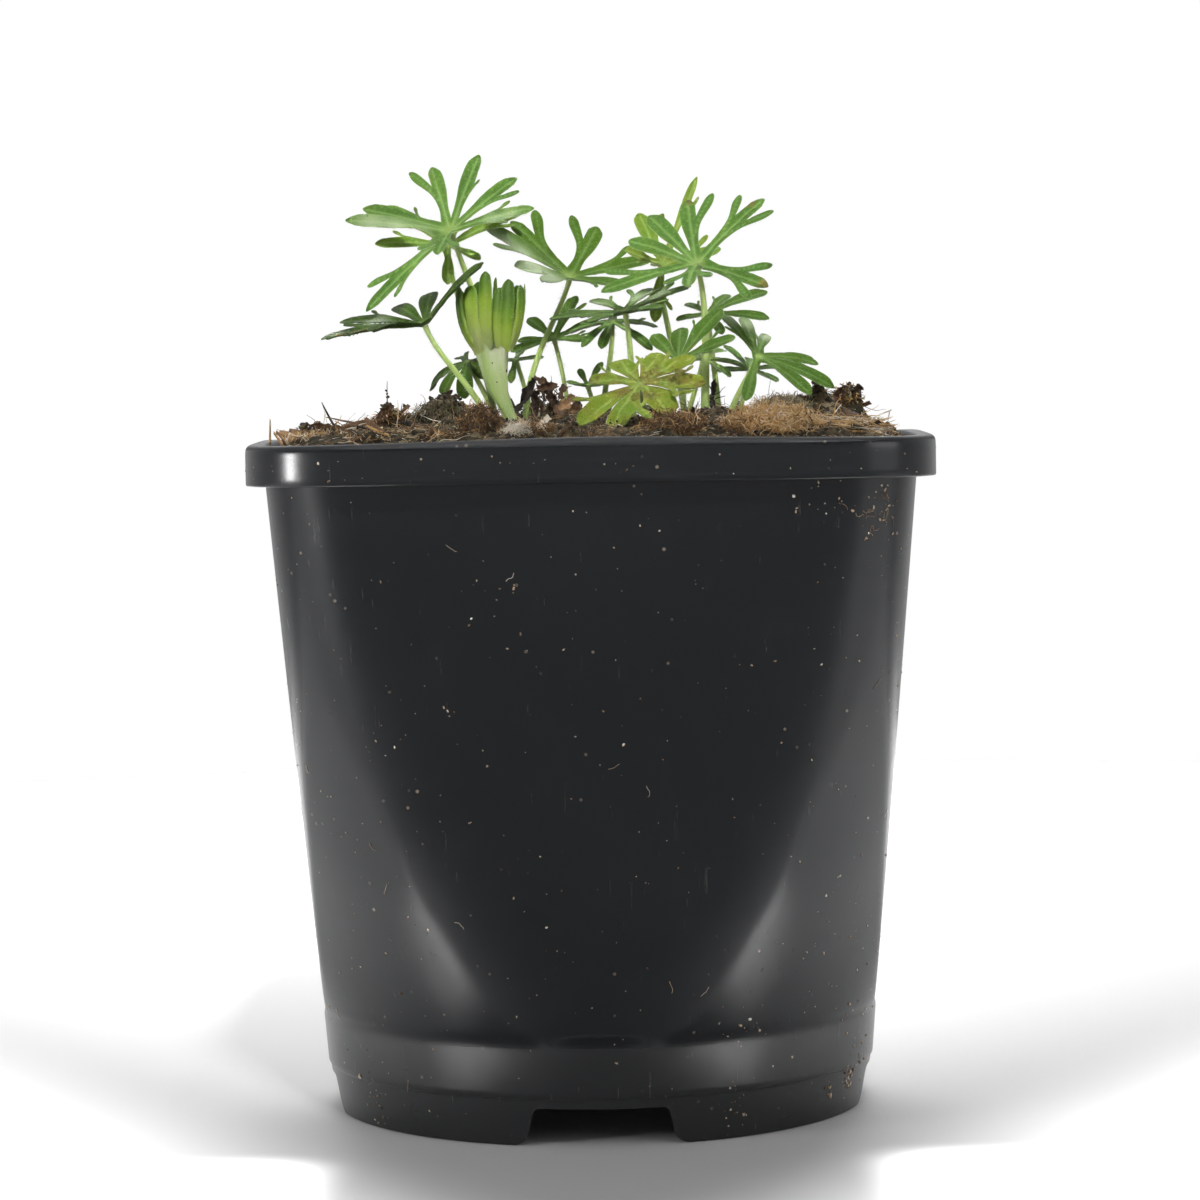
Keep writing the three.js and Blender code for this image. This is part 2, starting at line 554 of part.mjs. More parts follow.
// The blade as one closed thin plate, cut into lobes, in the blade's own axes.
function bladeOf(lobes) {
  const spots = [{ at: new THREE.Vector3(), normal: UP.clone() }];
  const add = (spot) => spots.push(spot) - 1;
  const faces = [];
  const edge = [];
  const sinus = [...lobes, null].map((_, k) => add({ at: sinusPoint(lobes, k), normal: UP.clone() }));
  lobes.forEach((lobe, k) => {
    const ribs = RIB.map((along) => add(lobePoint(lobe, along, 0, 1)));
    const tip = add(lobePoint(lobe, 1, 0, 1));
    const outlines = [-1, 1].map((side, h) => {
      const { points } = halfOutline(lobe, h);
      const placed = Object.entries(points).map(([name, at]) => [name, add(lobePoint(lobe, ...at, side))]);
      const half = Object.fromEntries(placed);
      const made = halfFaces(0, ribs, tip, half, sinus[k + h]);
      faces.push(...made.map(([a, b, c]) => (h === 1 ? [a, b, c] : [a, c, b])));
      return placed.filter(([name]) => name !== "sideRib").map(([, index]) => index);
    });
    edge.push(sinus[k], ...outlines[0], tip, ...outlines[1].reverse());
  });
  edge.push(sinus.at(-1));
  faces.push([0, sinus.at(-1), sinus[0]]);
  return plateOf(spots, faces, edge);
}

// Gives a sheet its thickness, half on each side.
function plateOf(spots, faces, edge) {
  const count = spots.length;
  const shifted = (by) => spots.map(({ at, normal }) => at.clone().addScaledVector(normal, by));
  const under = faces.map(([a, b, c]) => [a + count, c + count, b + count]);
  const walls = edge.flatMap((a, i) => {
    const b = edge[(i + 1) % edge.length];
    return [[a + count, b + count, b], [a + count, b, a]];
  });
  const sheets = [...shifted(BLADE_THICK / 2), ...shifted(-BLADE_THICK / 2)];
  return manifoldOf(sheets, [...faces, ...under, ...walls]);
}

// Moves a solid from the blade's own axes to its place.
function place(solid, axes, hub) {
  const matrix = new THREE.Matrix4().makeBasis(...axes).setPosition(hub);
  return solid.transform(matrix.elements);
}

function stalkCurve(leaf, axes) {
  const foot = new THREE.Vector3(leaf.root[0], leaf.root[1], ROOT_Z);
  const hub = new THREE.Vector3(...leaf.hub);
  const span = foot.distanceTo(hub);
  const leaving = foot.clone().addScaledVector(UP, 0.42 * span).add(new THREE.Vector3(...(leaf.bend || [0, 0, 0])));
  const arriving = hub.clone().addScaledVector(axes[2], -0.3 * span);
  return new THREE.CubicBezierCurve3(foot, leaving, arriving, hub);
}

function tube(curve, { to = 1, steps, sides, radius, deeper = 0 }) {
  const rings = [];
  let side = new THREE.Vector3(1, 0, 0);
  for (let i = 0; i <= steps; i++) {
    const t = (to * i) / steps;
    const ahead = curve.getTangent(t);
    side = side.addScaledVector(ahead, -side.dot(ahead)).normalize();
    const other = ahead.clone().cross(side);
    const at = curve.getPoint(t);
    if (i === 0) at.z -= deeper;
    rings.push(
      Array.from({ length: sides }, (_, j) => {
        const turn = (2 * Math.PI * j) / sides;
        return at.clone()
          .addScaledVector(side, radius(t) * Math.cos(turn))
          .addScaledVector(other, radius(t) * Math.sin(turn));
      }),
    );
  }
  return stackOfRings(rings);
}

function stalkRadius(leaf, t) {
  const foot = leaf.stalk || STALK.foot;
  return foot + (Math.min(foot, STALK.top) - foot) * t;
}

function makeLeaf(leaf) {
  const { axes, lobes } = lobesOf(leaf);
  const curve = stalkCurve(leaf, axes);
  const { steps, sides } = STALK;
  const stalk = tube(curve, { steps, sides, radius: (t) => stalkRadius(leaf, t) });
  return place(bladeOf(lobes), axes, new THREE.Vector3(...leaf.hub)).add(stalk);
}

// The hole that a stalk stands in: it follows the stalk out of the medium, wider by the gap and a little deeper.
function socketOf(leaf) {
  const curve = stalkCurve(leaf, lobesOf(leaf).axes);
  const { steps, sides } = STALK;
  const wide = (t) => (stalkRadius(leaf, t) + GAP) / Math.cos(Math.PI / sides);
  let reach = 1;
  while (curve.getPoint(reach / steps).z < SOIL_HIGHEST) reach++;
  return tube(curve, { to: reach / steps, steps: reach, sides, radius: wide, deeper: GAP });
}

// ---- Young shoot ----
function ellipse(middle, width, depth, sides) {
  return Array.from({ length: sides }, (_, i) => {
    const turn = (2 * Math.PI * i) / sides;
    return new THREE.Vector3((width / 2) * Math.cos(turn), (depth / 2) * Math.sin(turn), 0).add(middle);
  });
}

function sheath(shares, wider) {
  const { footWidth, neckWidth, depth } = SHOOT;
  const foot = new THREE.Vector3(...SHOOT.foot);
  const neck = new THREE.Vector3(...SHOOT.neck);
  const rings = shares.map((t) => {
    const width = footWidth + (neckWidth - footWidth) * Math.max(0, t) ** 1.5;
    return ellipse(foot.clone().lerp(neck, t), width + 2 * wider, depth + 2 * wider, 10);
  });
  return stackOfRings(rings);
}

// A leaf that is still folded: fat fingers that stand close round its middle, each widest halfway up.
function foldedLeaf({ base, fingers }) {
  const start = new THREE.Vector3(...base);
  const made = fingers.map((tip) => {
    const out = new THREE.Vector3(...tip);
    const side = new THREE.Vector3(out.x, out.y, 0).multiplyScalar(0.55);
    const rings = FINGER.map(([t, width]) => {
      const middle = start.clone().addScaledVector(out, t).addScaledVector(side, Math.sin(Math.PI * Math.max(0, t)));
      return ellipse(middle, width, width, 6);
    });
    return stackOfRings(rings);
  });
  return made.reduce((all, finger) => all.add(finger));
}

function makeShoot() {
  return FOLDED.reduce((shoot, leaf) => shoot.add(foldedLeaf(leaf)), sheath([0, 0.35, 0.7, 1], 0));
}

// ---- Assembly ----
const group = new THREE.Group();
group.add(meshOf("pot", makePot(), COLOUR.pot, 0.35));
group.add(meshOf("growing_medium", makeSoil([...LEAVES.map(socketOf), sheath([-0.012, 0.35, 0.7], GAP)]), COLOUR.soil, 0.95));
group.add(meshOf("young_shoot", makeShoot(), COLOUR.young, 0.5));
for (const leaf of LEAVES) group.add(meshOf(leaf.name, makeLeaf(leaf), COLOUR[leaf.colour || "leaf"], 0.55));

export default group;
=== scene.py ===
# A young hardy geranium in a square-rimmed plastic nursery pot: the looks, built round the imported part.
# Shapes are worked out in millimetres, in the part's own frame, and become metres when a mesh is made.
import math

import bmesh
import bpy
import numpy as np
from mathutils import Matrix, Quaternion, Vector, noise
from mathutils.geometry import delaunay_2d_cdt


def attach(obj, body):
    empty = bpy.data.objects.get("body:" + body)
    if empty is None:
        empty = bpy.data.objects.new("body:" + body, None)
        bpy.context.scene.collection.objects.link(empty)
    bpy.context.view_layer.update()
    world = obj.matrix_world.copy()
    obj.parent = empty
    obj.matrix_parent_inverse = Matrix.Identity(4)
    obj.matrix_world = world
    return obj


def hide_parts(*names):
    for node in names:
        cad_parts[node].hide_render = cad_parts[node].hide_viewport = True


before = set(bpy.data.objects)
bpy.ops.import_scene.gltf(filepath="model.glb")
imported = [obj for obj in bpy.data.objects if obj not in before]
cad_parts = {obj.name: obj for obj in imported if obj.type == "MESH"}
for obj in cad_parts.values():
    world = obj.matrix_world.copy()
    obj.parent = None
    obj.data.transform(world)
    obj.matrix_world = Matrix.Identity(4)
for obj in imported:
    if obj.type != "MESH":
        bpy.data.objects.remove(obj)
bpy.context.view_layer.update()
MM = 0.001
WELD_DISTANCE = 1e-6
radians = math.radians

# ---- Pot dimensions ----
POT_HEIGHT = 150.0
RIM_HALF, RIM_BAND, RIM_BOW, RIM_SQUARENESS = 74.5, 8.6, 0.9, 6.5
BAND_FOOT = POT_HEIGHT - RIM_BAND
WALL = 1.4
PANEL_FOOT = 21.5
PANEL_HALF, PANEL_SQUARENESS = (61.6, 71.0), (3.2, 7.0)  # at the panels' foot and at the top
PANELS_START, PANELS_FULL = 20.6, 24.6  # between these heights the round part becomes the panels
FLOOR_UNDERSIDE, FLOOR_TOP = 9.3, 10.8
STEP_Z = 10.6
# The round part below the panels: heights and outer radii.
ROUND_Z, ROUND_RADII = [0, 0.6, 10.2, STEP_Z, 21, 25], [59.8, 60.1, 61.5, 61.9, 62.75, 63.1]
# The round corners: height and radius.
CORNER_CONE = np.array([
    [21, 62.8], [30, 65.8], [42, 69.5], [56, 73.6], [72, 77.3], [92, 82.2], [118, 87.2], [150, 95],
])
CREASE = 0.35  # how softly a panel meets the round corner, in mm of radius
# Half of a drainage notch: how high its edge is at each distance from the middle of the side.
NOTCH_EDGE = [(1.2 * k, 8.2) for k in range(11)] + [
    (12.9, 8.19), (13.5, 8.08), (13.95, 7.82), (14.3, 7.4), (14.55, 6.8), (14.9, 5.6), (15.25, 4.3),
    (15.6, 3.1),
    (15.95, 2.1), (16.45, 1.3), (17.1, 0.7), (17.8, 0.28), (18.6, 0.05), (19.4, 0),
]
FOOT_MEAN = 60.3
DRAIN = {"radius": 5.0, "ring": 34.0}

# ---- Growing medium ----
SOIL_EDGE_Z, SOIL_SHOULDER, SOIL_CROWN, SOIL_HALF = 149.3, 2.4, 1.6, 69
# Mounds in the surface: x, y, radius, height.
MOUNDS = [
    (46, 6, 16, 5.6), (27, -24, 15, 3.2), (53, -3, 5.5, 5.4), (59.5, 5, 4.6, 4.6), (-45.5, -9, 4.6, 4.6),
    (-33, 8, 12, 5.8), (-25, -22, 9, 3.2), (-8, 5, 6, 5.4), (-2, 32, 20, 3.4), (0, -10, 8, 2.6),
    (40, 40, 13, 3.4), (-44, 42, 13, 3.0), (-62, -26, 8, 1.6), (8, -50, 10, 0.8),
]
# Bark chips: x, y, length, width, lean, turn in mm and degrees.
CHIPS = [
    (-56, -31, 11, 1.7, 14, 15), (-45, -42, 7, 1.3, 34, 150), (-6, -2, 7, 3.4, 58, 140),
    (0, 12, 7, 3, 52, 30),
    (47, -14, 8, 1.6, 34, 150), (34, 44, 15, 2.4, 18, 80), (-20, 48, 17, 2.0, 16, 165),
    (-48, 34, 11, 3.0, 40, -20),
    (14, 54, 12, 2.4, 26, 40), (60, -36, 12, 1.8, 16, 125),
]

# ---- Foliage ----
ROOT_Z = 145.5  # where the stalks start
STALK_FOOT, STALK_TOP = 0.9, 0.6  # radii
FOLD = radians(9)  # how steeply a lobe's halves rise from its rib
SINUS_REACH = 0.17  # how far the sinuses are from the hub, in shares of a lobe
LONGEST_BROAD = 18  # a lobe longer than this grows no broader
# Half of a lobe from its neck to its tip, in shares of its length: along, across.
PLAIN = {"neck": (0.34, 0.07), "flank": (0.6, 0.118), "cheek": (0.85, 0.12), "shoulder": (0.955, 0.062)}
CUT = {
    "neck": (0.34, 0.072), "flank": (0.57, 0.13), "outer": (0.77, 0.285), "sideTip": (0.89, 0.31),
    "inner": (0.87, 0.225), "notch": (0.67, 0.092), "shoulder": (0.91, 0.078),
}
GROWS = ("outer", "sideTip", "inner", "notch")
# Leaves as in the solids: root and hub in mm, and each lobe's tip from the hub with the sizes of the side
# lobes after and before it. Then the look: tint 0 is deep green and 1 pale yellow-green, brown is how much
# has died back. pale and spots are pale and brown marks: their middles from the hub, and their sizes. The
# pale marks are painted sheen: there the upper face takes the paler underside colour, standing in for the
# silvery sheen that hairs give some lobes at grazing angles.
LEAVES = [
    {"name": "top_left", "root": (-18.5, 3), "hub": (-30.8, 0, 197.3), "curl": 14, "wide": 0.85,
     "stalk": 1.1, "tint": 0.5, "brown": 0.04,
     "pale": [(-18, -3, 1, 3.4), (-12, -3, 0, 3), (-7, -2, -1.5, 2.5), (10, -3, 1, 2.2), (14, -4, 2, 2.2)],
     "lobes": [
        (19, -5, 4.5, 0.5, 0.4), (15, 6, 12, 0, 0.9), (6.5, 8, 17.5, 0, 0.3), (-4.5, 11, 15, 1.25, 0),
        (-20, 4, 5.5, 0.4, 0), (-23.5, -4, 2.5, 0, 0.6), (-19, -7, -18, 0.6, 0.8), (-2.5, -17, -6, 1, 1)]},
    {"name": "left_behind", "root": (-21, 9), "hub": (-31.9, 11, 194.4), "curl": 16, "wide": 1.05,
     "tint": 0.68, "brown": 0.05, "lobes": [
        (7.5, -6, -3.5), (17.5, 4, 8, 0, 0.6), (2, 13, 7, 0.5, 0), (-14.5, 6, 9.5, 0, 0.4),
        (-16.5, -4, 0.5, 0, 0.5), (0, -6, -9)]},
    {"name": "left_low", "root": (-21.5, -9.5), "hub": (-36.6, -10, 176), "curl": 18, "wide": 1.2,
     "bend": (2, 0, -2), "tint": 0.03, "back": 0.1, "brown": 0.1,
     "spots": [(-12, -5, -2, 3), (-18, -4, -2.5, 2)],
     "pale": [(-11, 3, 0.3, 2.4), (-20, -2, -2.5, 2)],
     "lobes": [
        (13.5, -3, 13.5, 0, 0.7), (1, 13, 7.5), (-7, 12, 4.5), (-19.5, 8, 1, 0.5, 0.4),
        (-23, -3, -3, 0.7, 0.8), (-11.5, -14, -1.5, 0.7, 0)]},
    {"name": "middle_back", "root": (-14.5, 11), "hub": (-4.2, 15, 186.8), "curl": 8, "wide": 1.15,
     "bend": (-3, 0, 2), "tint": 0.2, "brown": 0.03,
     "pale": [(-9, -7, 2, 5), (-5, -9, -1, 5), (-15, -2, 8, 2.4), (-11, -2, 5.5, 2.2), (-18, -2, 10.5, 2)],
     "lobes": [
        (12, -10, -2.5, 0, 0.5), (19, 2, 4, 0.7, 0.6), (6.5, 9, 12, 1.25, 0), (-13.5, 7, 13.5, 0, 1.2),
        (-19.5, -1, 12, 0.8, 0), (-12.5, -10, 2.5), (-6.5, -13, -1, 0, 0.5)]},
    {"name": "middle_small", "root": (-4.5, 20.5), "hub": (-8.2, 25, 173.1), "curl": 8, "wide": 1.1,
     "stalk": 0.6, "tint": 0.25, "brown": 0.03, "lobes": [
        (8, -7, -0.5, 0.6, 0), (10, 2, 4), (5.5, 7, 10, 0, 0.8), (-6, 8, 5), (-8.5, 0, -0.5), (-10, -5, -3)]},
    {"name": "middle_flat", "root": (9.5, -3), "hub": (8.2, -5, 178.3), "curl": 12, "wide": 1.15,
     "stalk": 1.1, "tint": 0.2, "back": 0.28, "brown": 0.08,
     "pale": [(-7, 5, 2, 3), (4, 6, 3, 2.6), (8, 2, 3, 2.6)], "lobes": [
        (8.5, -10, 0.5, 0.8, 0.5), (15, 2, 5.5, 0.8, 0.4), (6, 12, 5.5, 0.8, 0.8), (-7.5, 10, 3, 0, 0.5),
        (-17, -2, -1.5, 0.5, 0.5), (-8, -12, -2.5, 0.6, 0.8)]},
    {"name": "middle_drooping", "root": (2, 9), "hub": (5.3, 12, 176.7), "curl": 22,
     "stalk": 0.8, "tint": 0.3, "brown": 0.05, "lobes": [
        (9, -5, -7), (10.5, 3, -1.5, 0.6, 0), (1.5, 11, 2.5), (-10, 3, -2.5, 0, 0.5), (-7, -6, -6, 0, 0.6),
        (-2.5, -8, -6.5, 0, 0.5)]},
    {"name": "top_right", "root": (25.5, -13), "hub": (24.4, -8, 188.5), "curl": 16,
     "stalk": 1.25, "tint": 0.47, "brown": 0.1, "spots": [(15, -8.5, -5.5, 2.6), (12, 2.5, 14, 1.5),
     (-1, 10.5, 14, 1.2)],
     "lobes": [
        (15.5, -9, -5.5, 1, 1.1), (15.5, 3, 14.5, 0.9, 1.1), (-1.5, 11, 15, 0, 1.2), (-10.5, 11, 11.5),
        (-15, 9, 6), (-21.5, -6, -6, 0, 0.9), (-2.5, -17, -5.5, 1, 1)]},
    {"name": "right_tall_pale", "root": (22, 4), "hub": (17, 13.5, 189.2), "curl": 8, "wide": 1.1,
     "tint": 0.8, "brown": 0.02, "slim": {1: 0.45}, "lobes": [
        (13.5, -3, 3.5, 0.8, 0.7), (8.5, 5, 20.5, 0, 0.7), (-5, 9, 12.5, 0, 0.9), (-8.5, -6, 3.5, 0.5, 0),
        (0, -11, -1.5, 0.7, 0.7), (-2, -5, -13, 0.6, 0.6)]},
    {"name": "right_inner", "root": (21, -3), "hub": (25.8, 3, 167.8), "curl": 20,
     "stalk": 0.7, "tint": 0.6, "brown": 0.03, "lobes": [
        (6, -5, -4.5), (9.5, 2, -2), (4.5, 10, 2, 0, 0.5), (-8, 4, 1.5, 0.5, 0), (-7, -7, -2, 0, 0.5)]},
    {"name": "right_front", "root": (20.5, -17), "hub": (19.5, -25, 166.7), "curl": 8, "wide": 1.4,
     "stalk": 0.8, "tint": 0.28, "brown": 0.16, "lobes": [
        (3, -9, -0.5, 0.7, 0), (12.5, -5, 5, 0.5, 0.3), (10, 5, 11.5, 0.3, 0), (1, 9, 7.5), (-5.5, 6, 6),
        (-7.5, -6, 0, 0, 0.5)]},
    {"name": "right_back", "root": (29.5, 5), "hub": (27.6, 19, 178.2), "curl": 14, "wide": 1.1,
     "tint": 0.22, "brown": 0.04, "lobes": [
        (3, -7, -5), (14, -2, -1.5), (14, 6, 5), (5, 9, 4.5, 0.4, 0), (-5, 7, 2.5, 0, 0.6),
        (-7.5, -3, -1.5)]},
    {"name": "right_low", "root": (29.5, -9), "hub": (37.7, -5, 167.9), "curl": 24,
     "tint": 0.28, "brown": 0.05, "pale": [(-1.5, 7, 6.5, 3), (2.5, 9, 4.5, 2.8), (-6, 3, 7.5, 2)], "lobes": [
        (-3, -5, -10), (11.5, -9, -9, 0.6, 0), (17, -3, -7.5, 0, 0.6), (14, 5, -2, 0, 0.5),
        (2.5, 11, 5, 0.6, 0),
        (-3, 8, 9), (-8, 3, 9.5, 0.5, 0)]},
    {"name": "right_low_behind", "root": (33, 1), "hub": (36.9, 9, 165.2), "curl": 12,
     "stalk": 0.7, "tint": 0.35, "brown": 0.03, "lobes": [
        (6, -5, -3), (9.5, 4, 0.5), (0, 10, 2.5), (-6, 5, 5.5), (-8, -5, -0.5)]},
    {"name": "yellow_front", "root": (13.5, -21), "hub": (10.9, -40, 162), "curl": 12, "wide": 2.2,
     "crumple": 1.9, "tint": 0.88, "back": 0.4, "brown": 0.42, "spots": [
         (3, 1, 0.5, 2.4), (-5, -3, -2, 2.2), (9, -2, 1, 2.2), (13, -5, -1, 1.6), (0, -6, -4, 2)], "lobes": [
        (14, -6, -0.5, 0.4, 0.6), (12, 4, 5.5, 0.5, 0.3), (4.5, 9, 6.5, 0.4, 0), (-4.5, 10, 5, 0, 0.5),
        (-11, -3, 0.5, 0, 0.4), (-13, -13, -8.9, 0.6, 0.5), (-6.5, -17, -10.0, 0.7, 0.7),
        (6, -13, -7, 0.5, 0.5)]},
    {"name": "centre_seedling", "root": (3, 20), "hub": (-0.5, 24, 162), "curl": 8,
     "stalk": 0.6, "tint": 0.18, "brown": 0.02, "lobes": [
        (4.5, -4, 0.5), (3.5, 4, 5.5), (-2, 5, 4), (-5, -2, 1)]},
    {"name": "left_wilted", "root": (-20.5, 17), "hub": (-28.2, 22, 168), "curl": 50, "wide": 1.7,
     "tint": 0.05, "back": 0.3, "brown": 0.3, "lobes": [
        (4.5, -5, -4), (3.5, 6, -0.5), (-1.5, 9, 1), (-9, 4, -6.5), (-5.5, -4, -8), (-0.5, -8, -8.5)]},
    {"name": "back_low", "root": (-13, 19), "hub": (-17.2, 27, 168.4), "curl": 20,
     "stalk": 0.7, "tint": 0.12, "brown": 0.2, "lobes": [
        (6.5, 0, 0.5), (1.5, 8, 2), (-5.5, 4, -0.5), (-1, -6, -5.5)]},
]
# The sheath's levels: z, middle x and y, width and depth.
SHEATH = np.array([
    [145.5, -14.6, -12.5, 2.8, 2.8], [150, -15.9, -11.6, 2.6, 2.6], [155.6, -18.1, -10.4, 2.9, 2.7],
    [161, -20.5, -9.4, 4.3, 3.2], [165, -21.2, -8.8, 5.6, 3.6], [168.5, -21.7, -8.3, 6.9, 3.8],
    [171.4, -22.0, -8.0, 7.8, 4.0],
])
# The folded leaves' fingers: foot, tip, width, how far they belly out sideways and to the front, and tone.
FINGERS = [
    ((-25.2, -7.0, 170.2), (-28.6, -5.7, 183.8), 3.6, (-1.2, 0.6), 0.75),
    ((-24.4, -6.8, 170.4), (-24.6, -5.4, 185.6), 3.4, (0.0, 0.9), 0.8),
    ((-25.0, -8.2, 170.0), (-28.9, -9.0, 184.5), 3.5, (-1.5, -0.5), 0.98),
    ((-24.6, -9.0, 169.8), (-26.2, -10.2, 184.7), 4.0, (-0.8, -0.9), 0.12),
    ((-23.4, -8.9, 170.0), (-22.9, -9.2, 187.7), 2.8, (0.0, -0.8), 0.36),
    ((-22.2, -8.3, 170.8), (-20.65, -8.0, 186.4), 1.0, (0.1, -0.2), 0.6),
    ((-19.3, -7.2, 171.2), (-19.0, -5.7, 184.4), 3.0, (-0.2, 0.8), 0.85),
    ((-17.9, -7.2, 171.2), (-15.9, -5.9, 184.6), 3.0, (0.5, 0.8), 0.85),
    ((-20.1, -8.6, 170.6), (-19.9, -9.5, 184.1), 2.7, (-0.4, -0.7), 0.66),
    ((-18.8, -9.0, 170.4), (-17.7, -9.9, 185.9), 2.9, (0.0, -0.9), 1.02),
    ((-17.6, -8.5, 170.6), (-15.1, -8.9, 184.6), 2.5, (0.9, -0.6), 0.58),
    ((-17.2, -8.0, 171.2), (-14.2, -7.9, 184.9), 1.0, (1.1, -0.2), 0.25),
]

# ---- Helpers: numbers ----
FULL_TURN = 2 * math.pi


def turns_of(count):
    """Evenly spaced directions all the way round."""
    return FULL_TURN * np.arange(count) / count


def smoothstep(x, low, high):
    t = np.clip((x - low) / (high - low), 0, 1)
    return t * t * (3 - 2 * t)


def unit(v):
    v = np.asarray(v, float)
    return v / np.maximum(np.linalg.norm(v, axis=-1, keepdims=True), 1e-12)


def fractal(points, scale, seed=0.0, octaves=3):
    """Smooth noise from about -1 to 1 at each point, for features of about scale mm."""
    shift = Vector((seed * 17.3, seed * 5.1, seed * 9.7))
    return np.array([noise.fractal(Vector(p) / scale + shift, 0.9, 2.1, octaves) for p in points])


def spline(points, spacing, after=None):
    """Points along a smooth curve through points, about spacing apart, without the last one.

    It comes to the last one as if it went on to after.
    """
    p = np.array(points, float)
    p = np.vstack([p[0], p, p[-1] if after is None else after])
    made = []
    for a, b, c, d in zip(p, p[1:], p[2:], p[3:]):
        steps = max(2, round(np.linalg.norm(c - b) / spacing))
        t = (np.arange(steps) / steps)[:, None]
        made.append(b + 0.5 * t * (c - a + t * (2 * a - 5 * b + 4 * c - d + t * (3 * (b - c) + d - a))))
    return np.vstack(made)


# ---- Helpers: meshes ----
class Shape:
    """Points, faces, a value of each mark at each point, and a material index for each face."""

    def __init__(self, *marks):
        self.points, self.faces, self.paint, self.count = [], [], [], 0
        self.marks = {name: [] for name in marks}

    def join(self, faces, paint=0):
        """More faces between points that are already there."""
        self.faces.append(np.asarray(faces, int))
        self.paint.append(np.full(len(faces), paint))

    def add(self, points, faces, paint=0, **marks):
        self.join(np.asarray(faces, int) + self.count, paint)
        self.points.append(np.asarray(points, float))
        for name, kept in self.marks.items():
            kept.append(np.broadcast_to(marks.get(name, 0.0), len(points)))
        self.count += len(points)


def make_object(name, shape, materials, replaced=None, sharp=180):
    """A mesh object in metres on the root body. An edge that turns by more than sharp degrees stays sharp."""
    points = np.vstack(shape.points) * MM
    mesh = bpy.data.meshes.new(name)
    faces = [face for block in shape.faces for face in block.tolist()]
    mesh.from_pydata(points.tolist(), [], faces)
    mesh.polygons.foreach_set("material_index", np.concatenate(shape.paint).astype(np.int32))
    mesh.polygons.foreach_set("use_smooth", np.ones(len(faces), bool))
    for mark, values in shape.marks.items():
        attribute = mesh.attributes.new(mark, "FLOAT", "POINT")
        attribute.data.foreach_set("value", np.concatenate(values).astype(np.float32))
    mesh.update()
    if sharp < 180:
        mesh.set_sharp_from_angle(angle=radians(sharp))
    for material in materials:
        mesh.materials.append(material)
    made = bpy.data.objects.new(name, mesh)
    bpy.context.scene.collection.objects.link(made)
    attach(made, "root")
    if replaced:
        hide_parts(replaced)
    return made


def weld(mesh):
    """Joins points that lie on each other, and turns every face outwards."""
    work = bmesh.new()
    work.from_mesh(mesh)
    bmesh.ops.remove_doubles(work, verts=work.verts, dist=WELD_DISTANCE)
    bmesh.ops.recalc_face_normals(work, faces=work.faces)
    work.to_mesh(mesh)
    work.free()
    mesh.update()


def grid_faces(rows, columns, closed=True):
    """Quads between rows of points."""
    around = columns if closed else columns - 1
    r, c = np.meshgrid(np.arange(rows - 1), np.arange(around), indexing="ij")
    a = (r * columns + c).ravel()
    b = (r * columns + (c + 1) % columns).ravel()
    return np.stack([a, b, b + columns, a + columns], 1)


def slab_faces(rows, columns):
    """Faces of a thin slab: its upper grid, its lower one and the walls between them."""
    count = rows * columns
    quads = grid_faces(rows, columns, closed=False)
    border = list(range(columns)) + [r * columns + columns - 1 for r in range(1, rows)]
    border += [(rows - 1) * columns + c for c in range(columns - 2, -1, -1)]
    border += [r * columns for r in range(rows - 2, 0, -1)]
    walls = [[a + count, b + count, b, a] for a, b in zip(border, border[1:] + border[:1])]
    return np.vstack([quads, quads[:, ::-1] + count, walls])


def end_fans(rows, sides):
    """Triangles from the first and the last ring of a grid to two points that follow the grid's own."""
    here = np.arange(sides)
    after, top, first = (here + 1) % sides, (rows - 1) * sides, np.full(sides, rows * sides)
    fans = np.array([[after, here, first], [top + here, top + after, first + 1]])
    return fans.transpose(2, 0, 1).reshape(-1, 3)


def closed_tube(rings, first, last):
    """Points and triangles of a stack of rings, closed at both ends."""
    rows, sides = rings.shape[:2]
    quads = grid_faces(rows, sides)
    faces = np.vstack([quads[:, [0, 1, 2]], quads[:, [0, 2, 3]], end_fans(rows, sides)])
    return np.vstack([rings.reshape(-1, 3), first, last]), faces


def tube(path, radii, sides, flat=1.0):
    """A closed tube round a path. flat squeezes it from above."""
    path = np.asarray(path, float)
    ahead = unit(np.gradient(path, axis=0))
    over = np.empty_like(ahead)
    last = np.array((0.0, 0.0, 1.0))
    for i, a in enumerate(ahead):
        last = last - a * (last @ a)
        if np.linalg.norm(last) < 1e-6:
            last = np.cross(a, (0.3, 0.8, 0.5))
        last = unit(last)
        over[i] = last
    side = np.cross(ahead, over)
    turn = turns_of(sides)
    radii = np.asarray(radii, float)[:, None, None]
    rings = (
        path[:, None]
        + radii * np.cos(turn)[None, :, None] * side[:, None]
        + radii * flat * np.sin(turn)[None, :, None] * over[:, None]
    )
    return closed_tube(rings, path[0], path[-1])


GOLDEN = (1 + 5**0.5) / 2
ICO = unit([
    (-1, GOLDEN, 0), (1, GOLDEN, 0), (-1, -GOLDEN, 0), (1, -GOLDEN, 0), (0, -1, GOLDEN), (0, 1, GOLDEN),
    (0, -1, -GOLDEN), (0, 1, -GOLDEN), (GOLDEN, 0, -1), (GOLDEN, 0, 1), (-GOLDEN, 0, -1), (-GOLDEN, 0, 1),
])
ICO_FACES = np.array([
    (0, 11, 5), (0, 5, 1), (0, 1, 7), (0, 7, 10), (0, 10, 11), (1, 5, 9), (5, 11, 4), (11, 10, 2), (10, 7, 6),
    (7, 1, 8), (3, 9, 4), (3, 4, 2), (3, 2, 6), (3, 6, 8), (3, 8, 9), (4, 9, 5), (2, 4, 11), (6, 2, 10),
    (8, 6, 7),
    (9, 8, 1),
])


